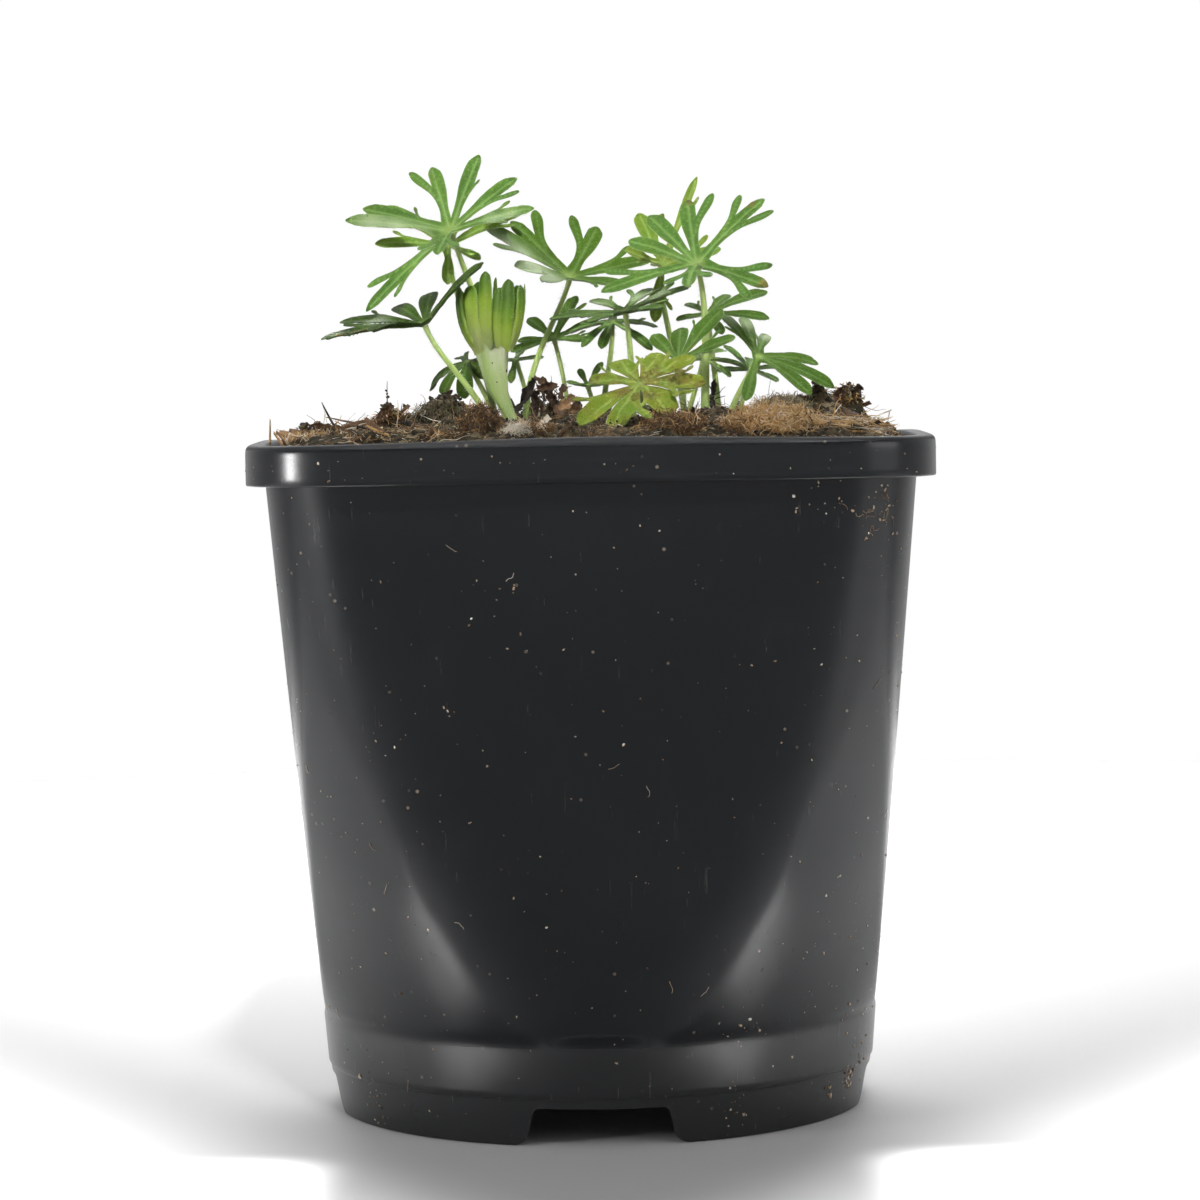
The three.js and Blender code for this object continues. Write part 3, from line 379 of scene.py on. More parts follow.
def finer(points, faces):
    """Splits each triangle of a ball in four."""
    points, seen, made = [tuple(p) for p in points], {}, []

    def middle(a, b):
        key = (min(a, b), max(a, b))
        if key not in seen:
            seen[key] = len(points)
            points.append(tuple(unit(np.add(points[a], points[b]))))
        return seen[key]

    for a, b, c in faces:
        ab, bc, ca = middle(a, b), middle(b, c), middle(c, a)
        made += [(a, ab, ca), (b, bc, ab), (c, ca, bc), (ab, bc, ca)]
    return np.array(points), np.array(made)


BALL, BALL_FACES = finer(ICO, ICO_FACES)


def random_turn(rng):
    w, x, y, z = unit(rng.normal(size=4))
    return np.array([
        [1 - 2 * (y * y + z * z), 2 * (x * y - z * w), 2 * (x * z + y * w)],
        [2 * (x * y + z * w), 1 - 2 * (x * x + z * z), 2 * (y * z - x * w)],
        [2 * (x * z - y * w), 2 * (y * z + x * w), 1 - 2 * (x * x + y * y)],
    ])


def add_lump(shape, centre, size, rng, rough=0.3, fine=False, turn=None, **marks):
    """A rough little ball, turned at random unless its turn is given."""
    ball, faces = (BALL, BALL_FACES) if fine else (ICO, ICO_FACES)
    points = ball * (1 + rough * (rng.random((len(ball), 1)) - 0.5) * 2) * np.asarray(size, float) / 2
    shape.add(points @ (random_turn(rng) if turn is None else turn).T + centre, faces, **marks)


def add_spikes(shape, roots, ways, lengths, radius, paint=0, **marks):
    """Fine three-sided hairs that taper to a point."""
    roots, ways = np.asarray(roots, float), unit(ways)
    side = unit(np.cross(ways, np.where(np.abs(ways[:, :1]) > 0.8, [[0, 1, 0]], [[1, 0, 0]])))
    other = np.cross(ways, side)
    corners = [roots + radius * (math.cos(t) * side + math.sin(t) * other) for t in turns_of(3)]
    tips = roots + ways * np.reshape(lengths, (-1, 1))
    points = np.stack([*corners, tips], 1).reshape(-1, 3)
    base = 4 * np.arange(len(roots))[:, None, None]
    faces = (base + np.array([[0, 1, 3], [1, 2, 3], [2, 0, 3], [0, 2, 1]])).reshape(-1, 3)
    shape.add(points, faces, paint, **marks)


# ---- Materials ----
class Look:
    """Builds one procedural material."""

    def __init__(self, name):
        self.material = bpy.data.materials.new(name)
        self.material.use_nodes = True
        self.tree = self.material.node_tree
        self.tree.nodes.clear()
        self.out = self.tree.nodes.new("ShaderNodeOutputMaterial")
        self.place = self.tree.nodes.new("ShaderNodeTexCoord").outputs["Object"]

    def node(self, kind, settings=None, **inputs):
        made = self.tree.nodes.new("ShaderNode" + kind)
        for name, value in (settings or {}).items():
            setattr(made, name, value)
        for name, value in inputs.items():
            self.set(made, name.replace("_", " "), value)
        return made

    def set(self, node, name, value):
        socket = node.inputs[name]
        if isinstance(value, bpy.types.NodeSocket):
            self.tree.links.new(value, socket)
        elif isinstance(value, tuple) and socket.type == "RGBA":
            socket.default_value = (*value, 1)
        else:
            socket.default_value = value

    def noise(self, scale, detail=3.0, rough=0.55, place=None):
        """Noise whose features are about 1 / scale metres wide."""
        made = self.node("TexNoise", Scale=scale, Detail=detail, Roughness=rough, Vector=place or self.place)
        return made.outputs["Fac"]

    def stretched(self, scale, detail, rough):
        """Noise with its own scale along each axis."""
        place = self.node("Mapping", Vector=self.place, Scale=scale)
        return self.noise(1, detail, rough, place.outputs[0])

    def cells(self, scale, feature="F1"):
        return self.node("TexVoronoi", {"feature": feature}, Scale=scale, Vector=self.place)

    def spots(self, scale, outer, inner):
        """Round spots, one in each cell."""
        return self.fit(self.cells(scale).outputs["Distance"], outer, inner)

    def mark(self, name):
        return self.node("Attribute", {"attribute_name": name}).outputs["Fac"]

    def fit(self, value, low, high, to_low=0.0, to_high=1.0):
        """Brings a range of values smoothly to another one."""
        made = self.node("MapRange", {"interpolation_type": "SMOOTHSTEP"}, Value=value)
        for index, number in enumerate((low, high, to_low, to_high), 1):
            made.inputs[index].default_value = number
        return made.outputs[0]

    def math(self, operation, a, b=0.5):
        made = self.node("Math", {"operation": operation})
        self.set(made, 0, a)
        self.set(made, 1, b)
        return made.outputs[0]

    def times(self, a, b):
        return self.math("MULTIPLY", a, b)

    def plus(self, a, b, share=None):
        """a plus b, or plus a share of b."""
        return self.math("ADD", a, b if share is None else self.times(b, share))

    def swayed(self, value, by, reach):
        """A value moved up and down by noise, which is 0.5 on average."""
        return self.plus(value, self.math("SUBTRACT", by), reach)

    def ramp(self, value, stops):
        made = self.node("ValToRGB", Fac=value)
        elements = made.color_ramp.elements
        while len(elements) < len(stops):
            elements.new(0.5)
        for element, (at, colour) in zip(elements, stops):
            element.position = at
            element.color = (*colour, 1)
        return made.outputs["Color"]

    def mix(self, share, a, b):
        made = self.node("Mix", {"data_type": "RGBA", "blend_type": "MIX"})
        for index, value in ((0, share), (6, a), (7, b)):
            self.set(made, index, value)
        return made.outputs[2]

    def bump(self, height, distance, strength, under=None):
        made = self.node("Bump", Height=height, Distance=distance, Strength=strength)
        if under is not None:
            self.set(made, "Normal", under)
        return made.outputs["Normal"]

    def finish(self, colour, roughness, normal=None, through=None, share=0.25, **sockets):
        """The shader. Where through is given, a share of the light goes through in that colour."""
        shader = self.node("BsdfPrincipled", None, Base_Color=colour, Roughness=roughness, **sockets)
        surface = shader.outputs[0]
        leak = None
        if through is not None:
            leak = self.node("BsdfTranslucent", Color=through)
            both = self.node("MixShader")
            for index, value in enumerate((share, surface, leak.outputs[0])):
                self.set(both, index, value)
            surface = both.outputs[0]
        for lit in (shader, leak):
            if lit and normal is not None:
                self.set(lit, "Normal", normal)
        self.tree.links.new(surface, self.out.inputs["Surface"])
        return self.material


def pot_look():
    look = Look("pot_plastic")
    cloud = look.noise(26, 4)
    fine = look.noise(240, 3)
    grime = look.fit(look.plus(look.times(cloud, 0.7), fine, 0.3), 0.42, 0.72)
    colour = look.mix(grime, (0.0034, 0.0046, 0.006), (0.006, 0.0068, 0.0076))
    scuffs = look.fit(look.stretched((900, 900, 34), 4, 0.6), 0.6, 0.8)
    colour = look.mix(look.times(scuffs, 0.35), colour, (0.05, 0.05, 0.048))
    dust = look.spots(310, 0.16, 0.06)
    rare = look.fit(look.noise(90, 2), 0.56, 0.66)
    colour = look.mix(look.times(dust, rare), colour, (0.17, 0.14, 0.11))
    height = look.node("SeparateXYZ", Vector=look.place).outputs["Z"]
    foot = look.fit(look.plus(height, cloud, 0.003), 0.0245, 0.0215)
    colour = look.mix(look.times(foot, 0.5), colour, (0.03, 0.031, 0.031))
    streaks = look.fit(look.stretched((70, 70, 1500), 4, 0.65), 0.5, 0.72)
    band = look.times(streaks, look.fit(height, 0.138, 0.143, 0.05, 0.2))
    colour = look.mix(band, colour, (0.034, 0.036, 0.038))
    lip = look.fit(height, 0.1489, 0.1496)
    rough = look.plus(look.fit(grime, 0, 1, 0.23, 0.265), lip, 0.4)
    rough = look.plus(rough, look.plus(scuffs, band), 0.08)
    ripple = look.bump(look.noise(48, 2), 0.0011, 0.1)
    grain = look.bump(fine, 0.00012, 0.12, ripple)
    return look.finish(colour, rough, grain, Specular_IOR_Level=0.46)


def soil_look():
    look = Look("growing_medium")
    crumbs = look.cells(620)
    tone = look.node("SeparateColor", Color=crumbs.outputs["Color"]).outputs[0]
    patch = look.noise(75, 4)
    colour = look.ramp(look.plus(look.times(tone, 0.45), patch, 0.75), [
        (0.1, (0.004, 0.0036, 0.0024)), (0.4, (0.012, 0.0098, 0.0056)), (0.58, (0.03, 0.024, 0.013)),
        (0.72, (0.07, 0.054, 0.03)), (0.9, (0.2, 0.16, 0.1)),
    ])
    height = look.plus(look.times(crumbs.outputs["Distance"], -0.7), look.noise(1500, 3))
    return look.finish(colour, 0.92, look.bump(height, 0.0009, 0.9), Specular_IOR_Level=0.25)


def toned(name, mottle, share, stops):
    """A look whose colour follows each grain's own tone, mottled by a share of noise."""
    look = Look(name)
    tone = look.mark("tone")
    mottle = look.noise(*mottle)
    return look, look.ramp(look.plus(tone, mottle, share), stops), mottle


def crumb_look():
    look, colour, _ = toned("crumbs", (900, 3), 0.35, [
        (0.15, (0.005, 0.0045, 0.003)), (0.42, (0.016, 0.013, 0.0072)), (0.62, (0.042, 0.031, 0.017)),
        (0.82, (0.1, 0.078, 0.045)), (1.0, (0.28, 0.23, 0.15)),
    ])
    return look.finish(colour, 0.9, look.bump(look.noise(2400, 3), 0.0005, 0.8), Specular_IOR_Level=0.25)


def bark_look():
    look, colour, grain = toned("bark", (1100, 4, 0.7), 0.5, [
        (0.2, (0.008, 0.006, 0.004)), (0.5, (0.04, 0.023, 0.013)), (0.75, (0.13, 0.07, 0.033)),
        (1.0, (0.38, 0.23, 0.11)),
    ])
    return look.finish(colour, 0.8, look.bump(grain, 0.0006, 0.9), Specular_IOR_Level=0.3)


def fibre_look():
    look, colour, _ = toned("fibres", (700, 2), 0.2, [
        (0.05, (0.012, 0.008, 0.006)), (0.35, (0.066, 0.041, 0.023)), (0.6, (0.21, 0.122, 0.053)),
        (0.84, (0.5, 0.3, 0.115)), (0.94, (0.66, 0.49, 0.27)), (1.0, (0.66, 0.6, 0.5)),
    ])
    return look.finish(colour, 0.75, None, colour, 0.15, Specular_IOR_Level=0.3)


def moss_look():
    look, colour, _ = toned("moss", (500, 2), 0.3, [
        (0.1, (0.026, 0.023, 0.012)), (0.5, (0.115, 0.1, 0.052)), (0.9, (0.31, 0.27, 0.17)),
    ])
    return look.finish(colour, 0.85, None, colour, 0.2)


def dust_look():
    look, colour, _ = toned("dust", (2600, 2), 0.3, [
        (0.1, (0.04, 0.022, 0.013)), (0.35, (0.2, 0.12, 0.07)), (0.65, (0.46, 0.36, 0.25)),
        (1.0, (0.72, 0.68, 0.6)),
    ])
    return look.finish(colour, 0.85, look.bump(look.noise(5000, 2), 0.0001, 0.6), Specular_IOR_Level=0.3)


def leaf_look():
    look = Look("leaf_blade")
    vein, side, rim, along = (look.mark(name) for name in ("vein", "side", "rim", "along"))
    tint, brown = look.mark("tint"), look.mark("brown")
    cloud = look.noise(170, 4)
    fine = look.noise(1300, 3)
    shifted = look.swayed(tint, cloud, look.plus(look.times(brown, 1.2), 0.4))
    top = look.ramp(shifted, [
        (0.0, (0.03, 0.06, 0.006)), (0.22, (0.062, 0.13, 0.01)), (0.48, (0.064, 0.15, 0.022)),
        (0.7, (0.125, 0.235, 0.018)), (1.0, (0.22, 0.27, 0.02)),
    ])
    under = [(0.0, (0.46, 0.53, 0.38)), (0.5, (0.57, 0.66, 0.43)), (1.0, (0.6, 0.66, 0.32))]
    under = look.ramp(shifted, under)
    rib = look.ramp(shifted, [(0.0, (0.1, 0.18, 0.035)), (0.5, (0.28, 0.44, 0.14)), (1.0, (0.44, 0.5, 0.14))])
    # The net of veins, the main veins and a grey bloom on the upper side.
    net = look.cells(1500, "DISTANCE_TO_EDGE").outputs["Distance"]
    top = look.mix(look.fit(net, 0.0, 0.09, 0.16, 0.0), top, rib)
    top = look.mix(look.times(vein, 0.8), top, rib)
    bloom = look.times(look.fit(fine, 0.5, 0.75), look.fit(tint, 0.1, 0.5, 0.02, 0.08))
    top = look.mix(bloom, top, (0.26, 0.36, 0.2))
    under = look.mix(look.times(vein, 0.5), under, (0.42, 0.5, 0.3))
    # The underside colour, as much as side says: on the underside, and in patches on the upper face, where it
    # is painted sheen standing in for the silvery look of hairs at grazing angles.
    colour = look.mix(side, top, under)
    # The hub and the edge are paler.
    hub = look.fit(along, 0.16, 0.02)
    colour = look.mix(look.times(hub, 0.7), colour, (0.33, 0.44, 0.14))
    edge = look.fit(rim, 0.5, 0.0)
    colour = look.mix(look.times(edge, 0.25), colour, rib)
    # Dead patches, more of them where the leaf is brown, and dark specks.
    patch = look.plus(look.times(look.noise(260, 5, 0.7), 0.8), edge, 0.06)
    dead = look.fit(look.plus(patch, brown, 0.3), 0.55, 0.68)
    dried = look.ramp(look.noise(420, 4, 0.7), [(0.35, (0.045, 0.026, 0.014)), (0.65, (0.3, 0.2, 0.06))])
    colour = look.mix(look.times(dead, look.fit(fine, 0.35, 0.6, 0.35, 0.85)), colour, dried)
    specks = look.times(look.spots(520, 0.13, 0.08), look.fit(cloud, 0.58, 0.64))
    colour = look.mix(look.times(specks, 0.7), colour, (0.05, 0.04, 0.02))
    height = look.plus(look.fit(net, 0.0, 0.2), fine, 0.7)
    height = look.plus(height, look.times(look.noise(480, 4, 0.6), look.times(brown, 6.0)))
    normal = look.bump(height, 0.00022, 0.6)
    rough = look.fit(fine, 0.3, 0.7, 0.55, 0.72)
    glow = look.mix(0.35, colour, (0.22, 0.4, 0.02))
    sheen = {"Specular_IOR_Level": 0.05, "Sheen_Weight": 0.03, "Sheen_Roughness": 0.45}
    return look.finish(colour, rough, normal, glow, 0.24, **sheen)


def stalk_look():
    look = Look("leaf_stalk")
    along = look.mark("along")
    colour = look.ramp(look.swayed(along, look.noise(420, 3), 0.35), [
        (0.0, (0.26, 0.29, 0.13)), (0.2, (0.24, 0.33, 0.09)), (0.6, (0.36, 0.48, 0.14)),
        (1.0, (0.42, 0.54, 0.19)),
    ])
    normal = look.bump(look.noise(1600, 2), 0.0002, 0.4)
    return look.finish(colour, 0.5, normal, colour, 0.2, Specular_IOR_Level=0.3)


def hair_look():
    look = Look("leaf_hair")
    colour = look.ramp(look.noise(300, 2), [(0.3, (0.5, 0.56, 0.4)), (0.7, (0.74, 0.77, 0.66))])
    return look.finish(colour, 0.5, None, colour, 0.5)


def bud_look():
    look = Look("folded_leaf")
    along, pale, tone = look.mark("along"), look.mark("vein"), look.mark("side")
    share = look.swayed(along, look.noise(330, 4), 0.3)
    share = look.plus(share, look.math("SUBTRACT", tone, 0.6), 0.45)
    colour = look.ramp(share, [
        (0.0, (0.44, 0.5, 0.2)), (0.22, (0.36, 0.46, 0.08)), (0.5, (0.25, 0.38, 0.025)),
        (0.7, (0.1, 0.22, 0.01)), (0.92, (0.025, 0.09, 0.006)),
    ])
    colour = look.mix(look.times(pale, 0.6), colour, (0.42, 0.52, 0.17))
    normal = look.bump(look.noise(1500, 3), 0.0002, 0.4)
    glow = look.mix(0.5, colour, (0.32, 0.5, 0.02))
    return look.finish(colour, 0.5, normal, glow, 0.42, Specular_IOR_Level=0.15)


def sheath_look():
    look = Look("sheath")
    along, rib = look.mark("along"), look.mark("vein")
    lines = look.stretched((1800, 1800, 120), 3, 0.6)
    colour = look.ramp(look.swayed(along, lines, 0.5), [
        (0.0, (0.3, 0.36, 0.16)), (0.4, (0.3, 0.4, 0.15)), (0.7, (0.36, 0.45, 0.19)),
        (1.0, (0.5, 0.55, 0.36)),
    ])
    colour = look.mix(look.times(rib, 0.85), colour, (0.26, 0.38, 0.08))
    specks = look.times(look.spots(230, 0.11, 0.07), look.fit(look.noise(110), 0.56, 0.62))
    colour = look.mix(specks, colour, (0.07, 0.04, 0.02))
    return look.finish(colour, 0.38, look.bump(lines, 0.0002, 0.4), colour, 0.35, Specular_IOR_Level=0.4)


def floor_look():
    look = Look("floor")
    colour = look.ramp(look.noise(3, 2), [(0.3, (0.61, 0.61, 0.61)), (0.7, (0.63, 0.63, 0.63))])
    return look.finish(colour, 0.8, Specular_IOR_Level=0.2)


# ---- Pot ----
# Levels of the pot. The step: z and radius. The band: z, inset and bow, down its inside face, round its foot,
# up its face and over the lip. The inside of the lip: z and inset.
STEP = [(10.25, 61.52), (10.42, 61.62), (10.55, 61.82), (10.68, 61.91)]
PANEL_LEVELS = [12, 14, 16, 18, 19.6, 20.5, 20.8, 21.1, 21.4, 21.8, 22.2, 22.6, 23.0, 23.4, 23.8, 24.2, 24.6]
BAND = [
    (148.8, 1.2, 1.0), (146, 1.2, 0.6), (142, 1.2, 0.1), (141.55, 1.12, 0), (141.42, 0.95, 0),
    (141.4, 0.4, 0),
    (141.44, 0.2, 0), (141.56, 0.06, 0), (141.8, 0.0, 0), (143.2, 0.0, 0.15), (144.8, 0.0, 0.35),
    (146.4, 0.0, 0.6), (147.6, 0.0, 0.8), (148.4, 0.02, 0.95), (148.9, 0.08, 1), (149.3, 0.22, 1),
    (149.62, 0.45, 1), (149.84, 0.76, 1), (149.96, 1.1, 1), (150.0, 1.5, 1),
]
LIP = [(150.0, 0.35), (149.93, 0.62), (149.7, 0.88), (149.3, 1.12), (148.8, 1.4)]
INSIDE_LEVELS = [140, 118, 92, 72, 56, 42, 30, 21.5]
FRONT = -math.pi / 2
DUST_GRAINS, RIM_GRAINS, DUST_FIBRES, FIBRES_IN_CLUSTER = 1050, 130, 64, 12
# Clusters of dust: how far round from the front in radians, z, spread, number of grains, and their size.
DUST = [
    (0.74, 134, 2.6, 34, 0.6), (0.6, 137, 3, 14, 0.5), (-0.95, 8, 2.6, 26, 0.6), (1.1, 8, 1.4, 40, 0.8),
    (0.96, 7.5, 1.0, 18, 0.7), (1.16, 18, 7, 34, 0.6), (0.86, 40, 9, 22, 0.5), (0.5, 6, 4, 20, 0.4),
    (0.46, 24, 4, 12, 0.6), (-1.2, 96, 4, 10, 0.5), (2.2 - FRONT, 60, 9, 26, 0.5),
    (0.4 - FRONT, 110, 6, 16, 0.5),
]


def all_turns():
    """Directions all round the pot, closest at the notches, and the height of the foot's edge at each."""
    turns = [math.asin(s / FOOT_MEAN) for s, _ in NOTCH_EDGE]
    last, steps = turns[-1], 36
    turns += [last + (math.pi / 4 - last) * (1 - (1 - i / steps) ** 1.25) for i in range(1, steps + 1)]
    turns, edge = np.array(turns), np.append([z for _, z in NOTCH_EDGE], np.zeros(steps))
    quadrant = np.concatenate([turns, (math.pi / 2 - turns)[::-1][1:-1]])
    heights = np.concatenate([edge, edge[::-1][1:-1]])
    return np.concatenate([quadrant + k * math.pi / 2 for k in range(4)]), np.tile(heights, 4)


TURNS, FOOT_EDGE = all_turns()


def smooth_least(a, b, soft):
    """The smaller of two values, rounded off where they cross."""
    h = np.clip(0.5 + 0.5 * (b - a) / soft, 0, 1)
    return b + (a - b) * h - soft * h * (1 - h)


def corner_reach(z):
    """Radius of the round corners at one height, on a smooth curve through CORNER_CONE."""
    heights, radii = CORNER_CONE.T
    slopes = np.gradient(radii, heights)
    k = np.clip(np.searchsorted(heights, z) - 1, 0, len(heights) - 2)
    span = heights[k + 1] - heights[k]
    t = (z - heights[k]) / span
    return (
        (2 * t**3 - 3 * t**2 + 1) * radii[k] + (t**3 - 2 * t**2 + t) * span * slopes[k]
        + (3 * t**2 - 2 * t**3) * radii[k + 1] + (t**3 - t**2) * span * slopes[k + 1]
    )


def level_radius(turns, half, exponent, reach=None):
    """How far a level of the pot reaches in each direction."""
    c, s = np.abs(np.cos(turns)), np.abs(np.sin(turns))
    radius = half / (c**exponent + s**exponent) ** (1 / exponent)
    return radius if reach is None else smooth_least(radius, reach, CREASE)


def body_radius(turns, z, inset=0.0):
    """How far the panels and round corners reach, less an inset."""
    z = max(z, PANEL_FOOT)
    half = np.interp(z, [PANEL_FOOT, POT_HEIGHT], PANEL_HALF) - inset
    exponent = np.interp(z, [PANEL_FOOT, POT_HEIGHT], PANEL_SQUARENESS)
    return level_radius(turns, half, exponent, corner_reach(z) - inset)


def round_radius(z):
    """Outer radius of the round part below the panels."""
    return np.interp(z, ROUND_Z, ROUND_RADII)


def outer_radius(turns, z):
    """Outer radius of the wall below the rim at one height."""
    if z <= PANELS_START:
        return np.full(len(turns), round_radius(z))
    panels = smoothstep(z, PANELS_START, PANELS_FULL)
    return (1 - panels) * round_radius(z) + panels * body_radius(turns, z)


def ring(turns, radius, z, bow=0.0):
    """Points at one level. bow lifts the middles of the sides."""
    rise = bow * (0.5 + 0.5 * np.cos(4 * turns))
    return np.stack([radius * np.cos(turns), radius * np.sin(turns), z + rise], 1)


def pot_rows():
    """Every level of the pot, from the floor's underside round the outside and the rim to the floor's top."""
    t, low, floor = TURNS, FOOT_EDGE, FLOOR_UNDERSIDE
    rows = [ring(t, 60.1, floor)]
    for share in (0.35, 0.7, 1.0):
        z = floor + (low + 0.2 - floor) * share
        rows.append(ring(t, 58.7 + 1.4 * z / floor, z))
    rows += [ring(t, round_radius(low) - inset, low) for inset in (1.15, 0.3)]
    for share in (0.0, 0.08, 0.25, 0.45, 0.65, 0.85, 1.0):
        z = low + 0.25 + (10.1 - low - 0.25) * share
        rows.append(ring(t, round_radius(z), z))
    rows += [ring(t, radius, z) for z, radius in STEP]
    for z in [*PANEL_LEVELS, *np.linspace(25.8, 148.2, 62)]:
        rows.append(ring(t, outer_radius(t, z), z, RIM_BOW * smoothstep(z, 147, 148.8)))
    for z, inset, bow in BAND:
        rows.append(ring(t, level_radius(t, RIM_HALF - inset, RIM_SQUARENESS), z, RIM_BOW * bow))
    rows += [ring(t, body_radius(t, 150 if z > 149 else z, inset), z, RIM_BOW) for z, inset in LIP]
    rows += [ring(t, body_radius(t, z, WALL), z) for z in INSIDE_LEVELS]
    return rows + [ring(t, 60.5, FLOOR_TOP)]


def drain_circles():
    """Outlines of the drain holes: one in the middle and four round it."""
    turn = turns_of(36)
    circle = DRAIN["radius"] * np.stack([np.cos(turn), np.sin(turn)], 1)
    around = [(math.cos(k * math.pi / 2), math.sin(k * math.pi / 2)) for k in range(4)]
    return [circle + DRAIN["ring"] * np.array(centre) for centre in [(0, 0), *around]]


def disc_with_holes(edge, circles, z, order):
    """Triangles that fill a ring of points but not the drain holes. They face up for order 1, down for -1."""
    edges, start = [], 0
    loops = [edge[:, :2], *circles]
    for loop in loops:
        n = len(loop)
        edges += [(start + i, start + (i + 1) % n) for i in range(n)]
        start += n
    verts, _, faces, *_ = delaunay_2d_cdt([Vector(p) for p in np.vstack(loops)], edges, [], 1, 1e-7)
    verts = np.array([tuple(v) for v in verts])
    middles = np.array([verts[list(face)].mean(0) for face in faces])
    in_hole = np.any([inside_loop(middles, circle) for circle in circles], axis=0)
    kept = [face[::order] for face, hole in zip(faces, in_hole) if not hole]
    return np.column_stack([verts, np.full(len(verts), z)]), kept


def make_pot(material):
    rows, circles = pot_rows(), drain_circles()
    shape = Shape()
    shape.add(np.vstack(rows), grid_faces(len(rows), len(TURNS)))
    shape.add(*disc_with_holes(rows[0], circles, FLOOR_UNDERSIDE, -1))
    shape.add(*disc_with_holes(rows[-1], circles, FLOOR_TOP, 1))
    for circle in circles:
        n = len(circle)
        wall = np.vstack([np.column_stack([circle, np.full(n, z)]) for z in (FLOOR_UNDERSIDE, FLOOR_TOP)])
        shape.add(wall, grid_faces(2, n)[:, ::-1])
    made = make_object("nursery_pot", shape, [material], "pot")
    weld(made.data)
    made.data.set_sharp_from_angle(angle=radians(42))


def wall_point(turn, z):
    """A point of the pot's outside, and the ways across, up and out there."""

    def at(a, h):
        a = np.array([a])
        radius = outer_radius(a, h) if h < BAND_FOOT else level_radius(a, RIM_HALF, RIM_SQUARENESS)
        return ring(a, radius, h)[0]

    across = at(turn + 0.01, z) - at(turn - 0.01, z)
    up = at(turn, z + 0.5) - at(turn, z - 0.5) if abs(z - BAND_FOOT) > 0.6 else np.array([0, 0, 1.0])
    out = unit(np.cross(across, up))
    return at(turn, z), unit(across), np.cross(out, unit(across)), out


def make_dust(material):
    """Grains of medium and short fibres that cling to the pot."""
    rng = np.random.default_rng(11)
    shape = Shape("tone")

    def grain(turn, z, size):
        here, across, up, out = wall_point(turn, z)
        spin = rng.random() * math.pi
        a = math.cos(spin) * across + math.sin(spin) * up
        long, wide = size * (1 + 0.9 * rng.random() ** 2), size * (0.6 + 0.5 * rng.random())
        thick = size * 0.55
        axes = np.stack([a, np.cross(out, a), out], 1)
        tone = float(np.clip(rng.normal(0.42, 0.22), 0.05, 1))
        add_lump(shape, here + out * thick * 0.2, (long, wide, thick), rng, 0.35, turn=axes, tone=tone)

    for _ in range(DUST_GRAINS):
        turn = rng.random() * FULL_TURN
        z = 1.5 + 138 * rng.random() ** 0.9
        if abs(math.sin(2 * turn)) >= 0.5 or z >= 9.5:  # not over a notch
            grain(turn, z, 0.16 + 0.4 * rng.random() ** 3)
    for _ in range(RIM_GRAINS):
        grain(rng.random() * FULL_TURN, 142.4 + 5.5 * rng.random(), 0.16 + 0.36 * rng.random() ** 3)
    for turn, z, spread, count, size in DUST:
        for _ in range(count):
            level = max(1, z + rng.normal() * spread)
            grain(FRONT + turn + rng.normal() * spread / 70, level, 0.2 + size * rng.random() ** 2.5)
    for i in range(DUST_FIBRES):
        turn, z, tone = rng.random() * FULL_TURN, 12 + 125 * rng.random(), 0.35 + 0.4 * rng.random()
        if i < FIBRES_IN_CLUSTER:  # these hang in the first cluster of DUST
            turn, z = FRONT + 0.74 + 0.04 * rng.normal(), 134 + 2.4 * rng.normal()
            tone = 0.2 + 0.2 * rng.random()
        here, across, up, out = wall_point(turn, z)
        heading = rng.random() * FULL_TURN
        path, spot = [], here + out * 0.08
        for _ in range(7):
            path.append(spot)
            heading += rng.normal() * 0.5
            spot = spot + (math.cos(heading) * across + math.sin(heading) * up) * 0.45
        points, faces = tube(path, np.full(7, 0.05), 4)
        shape.add(points, faces, tone=tone)
    make_object("pot_dust", shape, [material])


# ---- Growing medium ----
ANY_HEADING = (0, 6.28)
CRUMBS, SPLINTERS, FIBRES, FUZZ, MAT_STRAWS = 3000, 150, 900, 6000, 320  # how many
# Rough clods that stand up from the surface: x, y, foot z, width, height, number of crumbs.
CLODS = [
    (51, -4, 155, 4, 3.6, 60), (58.2, 5, 153.5, 6, 4.4, 90), (-45, -10, 153, 7, 2.8, 110),
    (-33, 4, 154, 15, 3.4, 260), (8, -46, 150, 14, 2.2, 60), (-60, -35, 150, 16, 2.2, 40),
    (66, -10, 151, 7, 2.6, 30), (-15, 20, 154, 12, 4, 60), (20, 46, 151.5, 24, 3, 80),
    (-46, 46, 151, 20, 3, 70),
    (60, 34, 151, 12, 3, 50), (0, -62, 149.8, 50, 1.6, 90), (-64, 10, 150, 8, 2.5, 40),
]
# Orange-brown bark in a fan at the front left, and beside the rim: as CHIPS, and the tone.
ORANGE_BARK = [
    (-65.4 + 0.75 * k, -50 + 0.5 * (k % 3), 6.4 - 0.15 * k, 0.45, 36 - 3.4 * k, 128 + 4 * k,
     0.7 + 0.12 * (k % 3)) for k in range(9)
] + [(-60, -49, 7, 1.0, 16, 152, 0.55), (24, -62, 5, 1, 6, 5, 0.6), (52, -56, 6, 1, 8, 200, 0.5)]
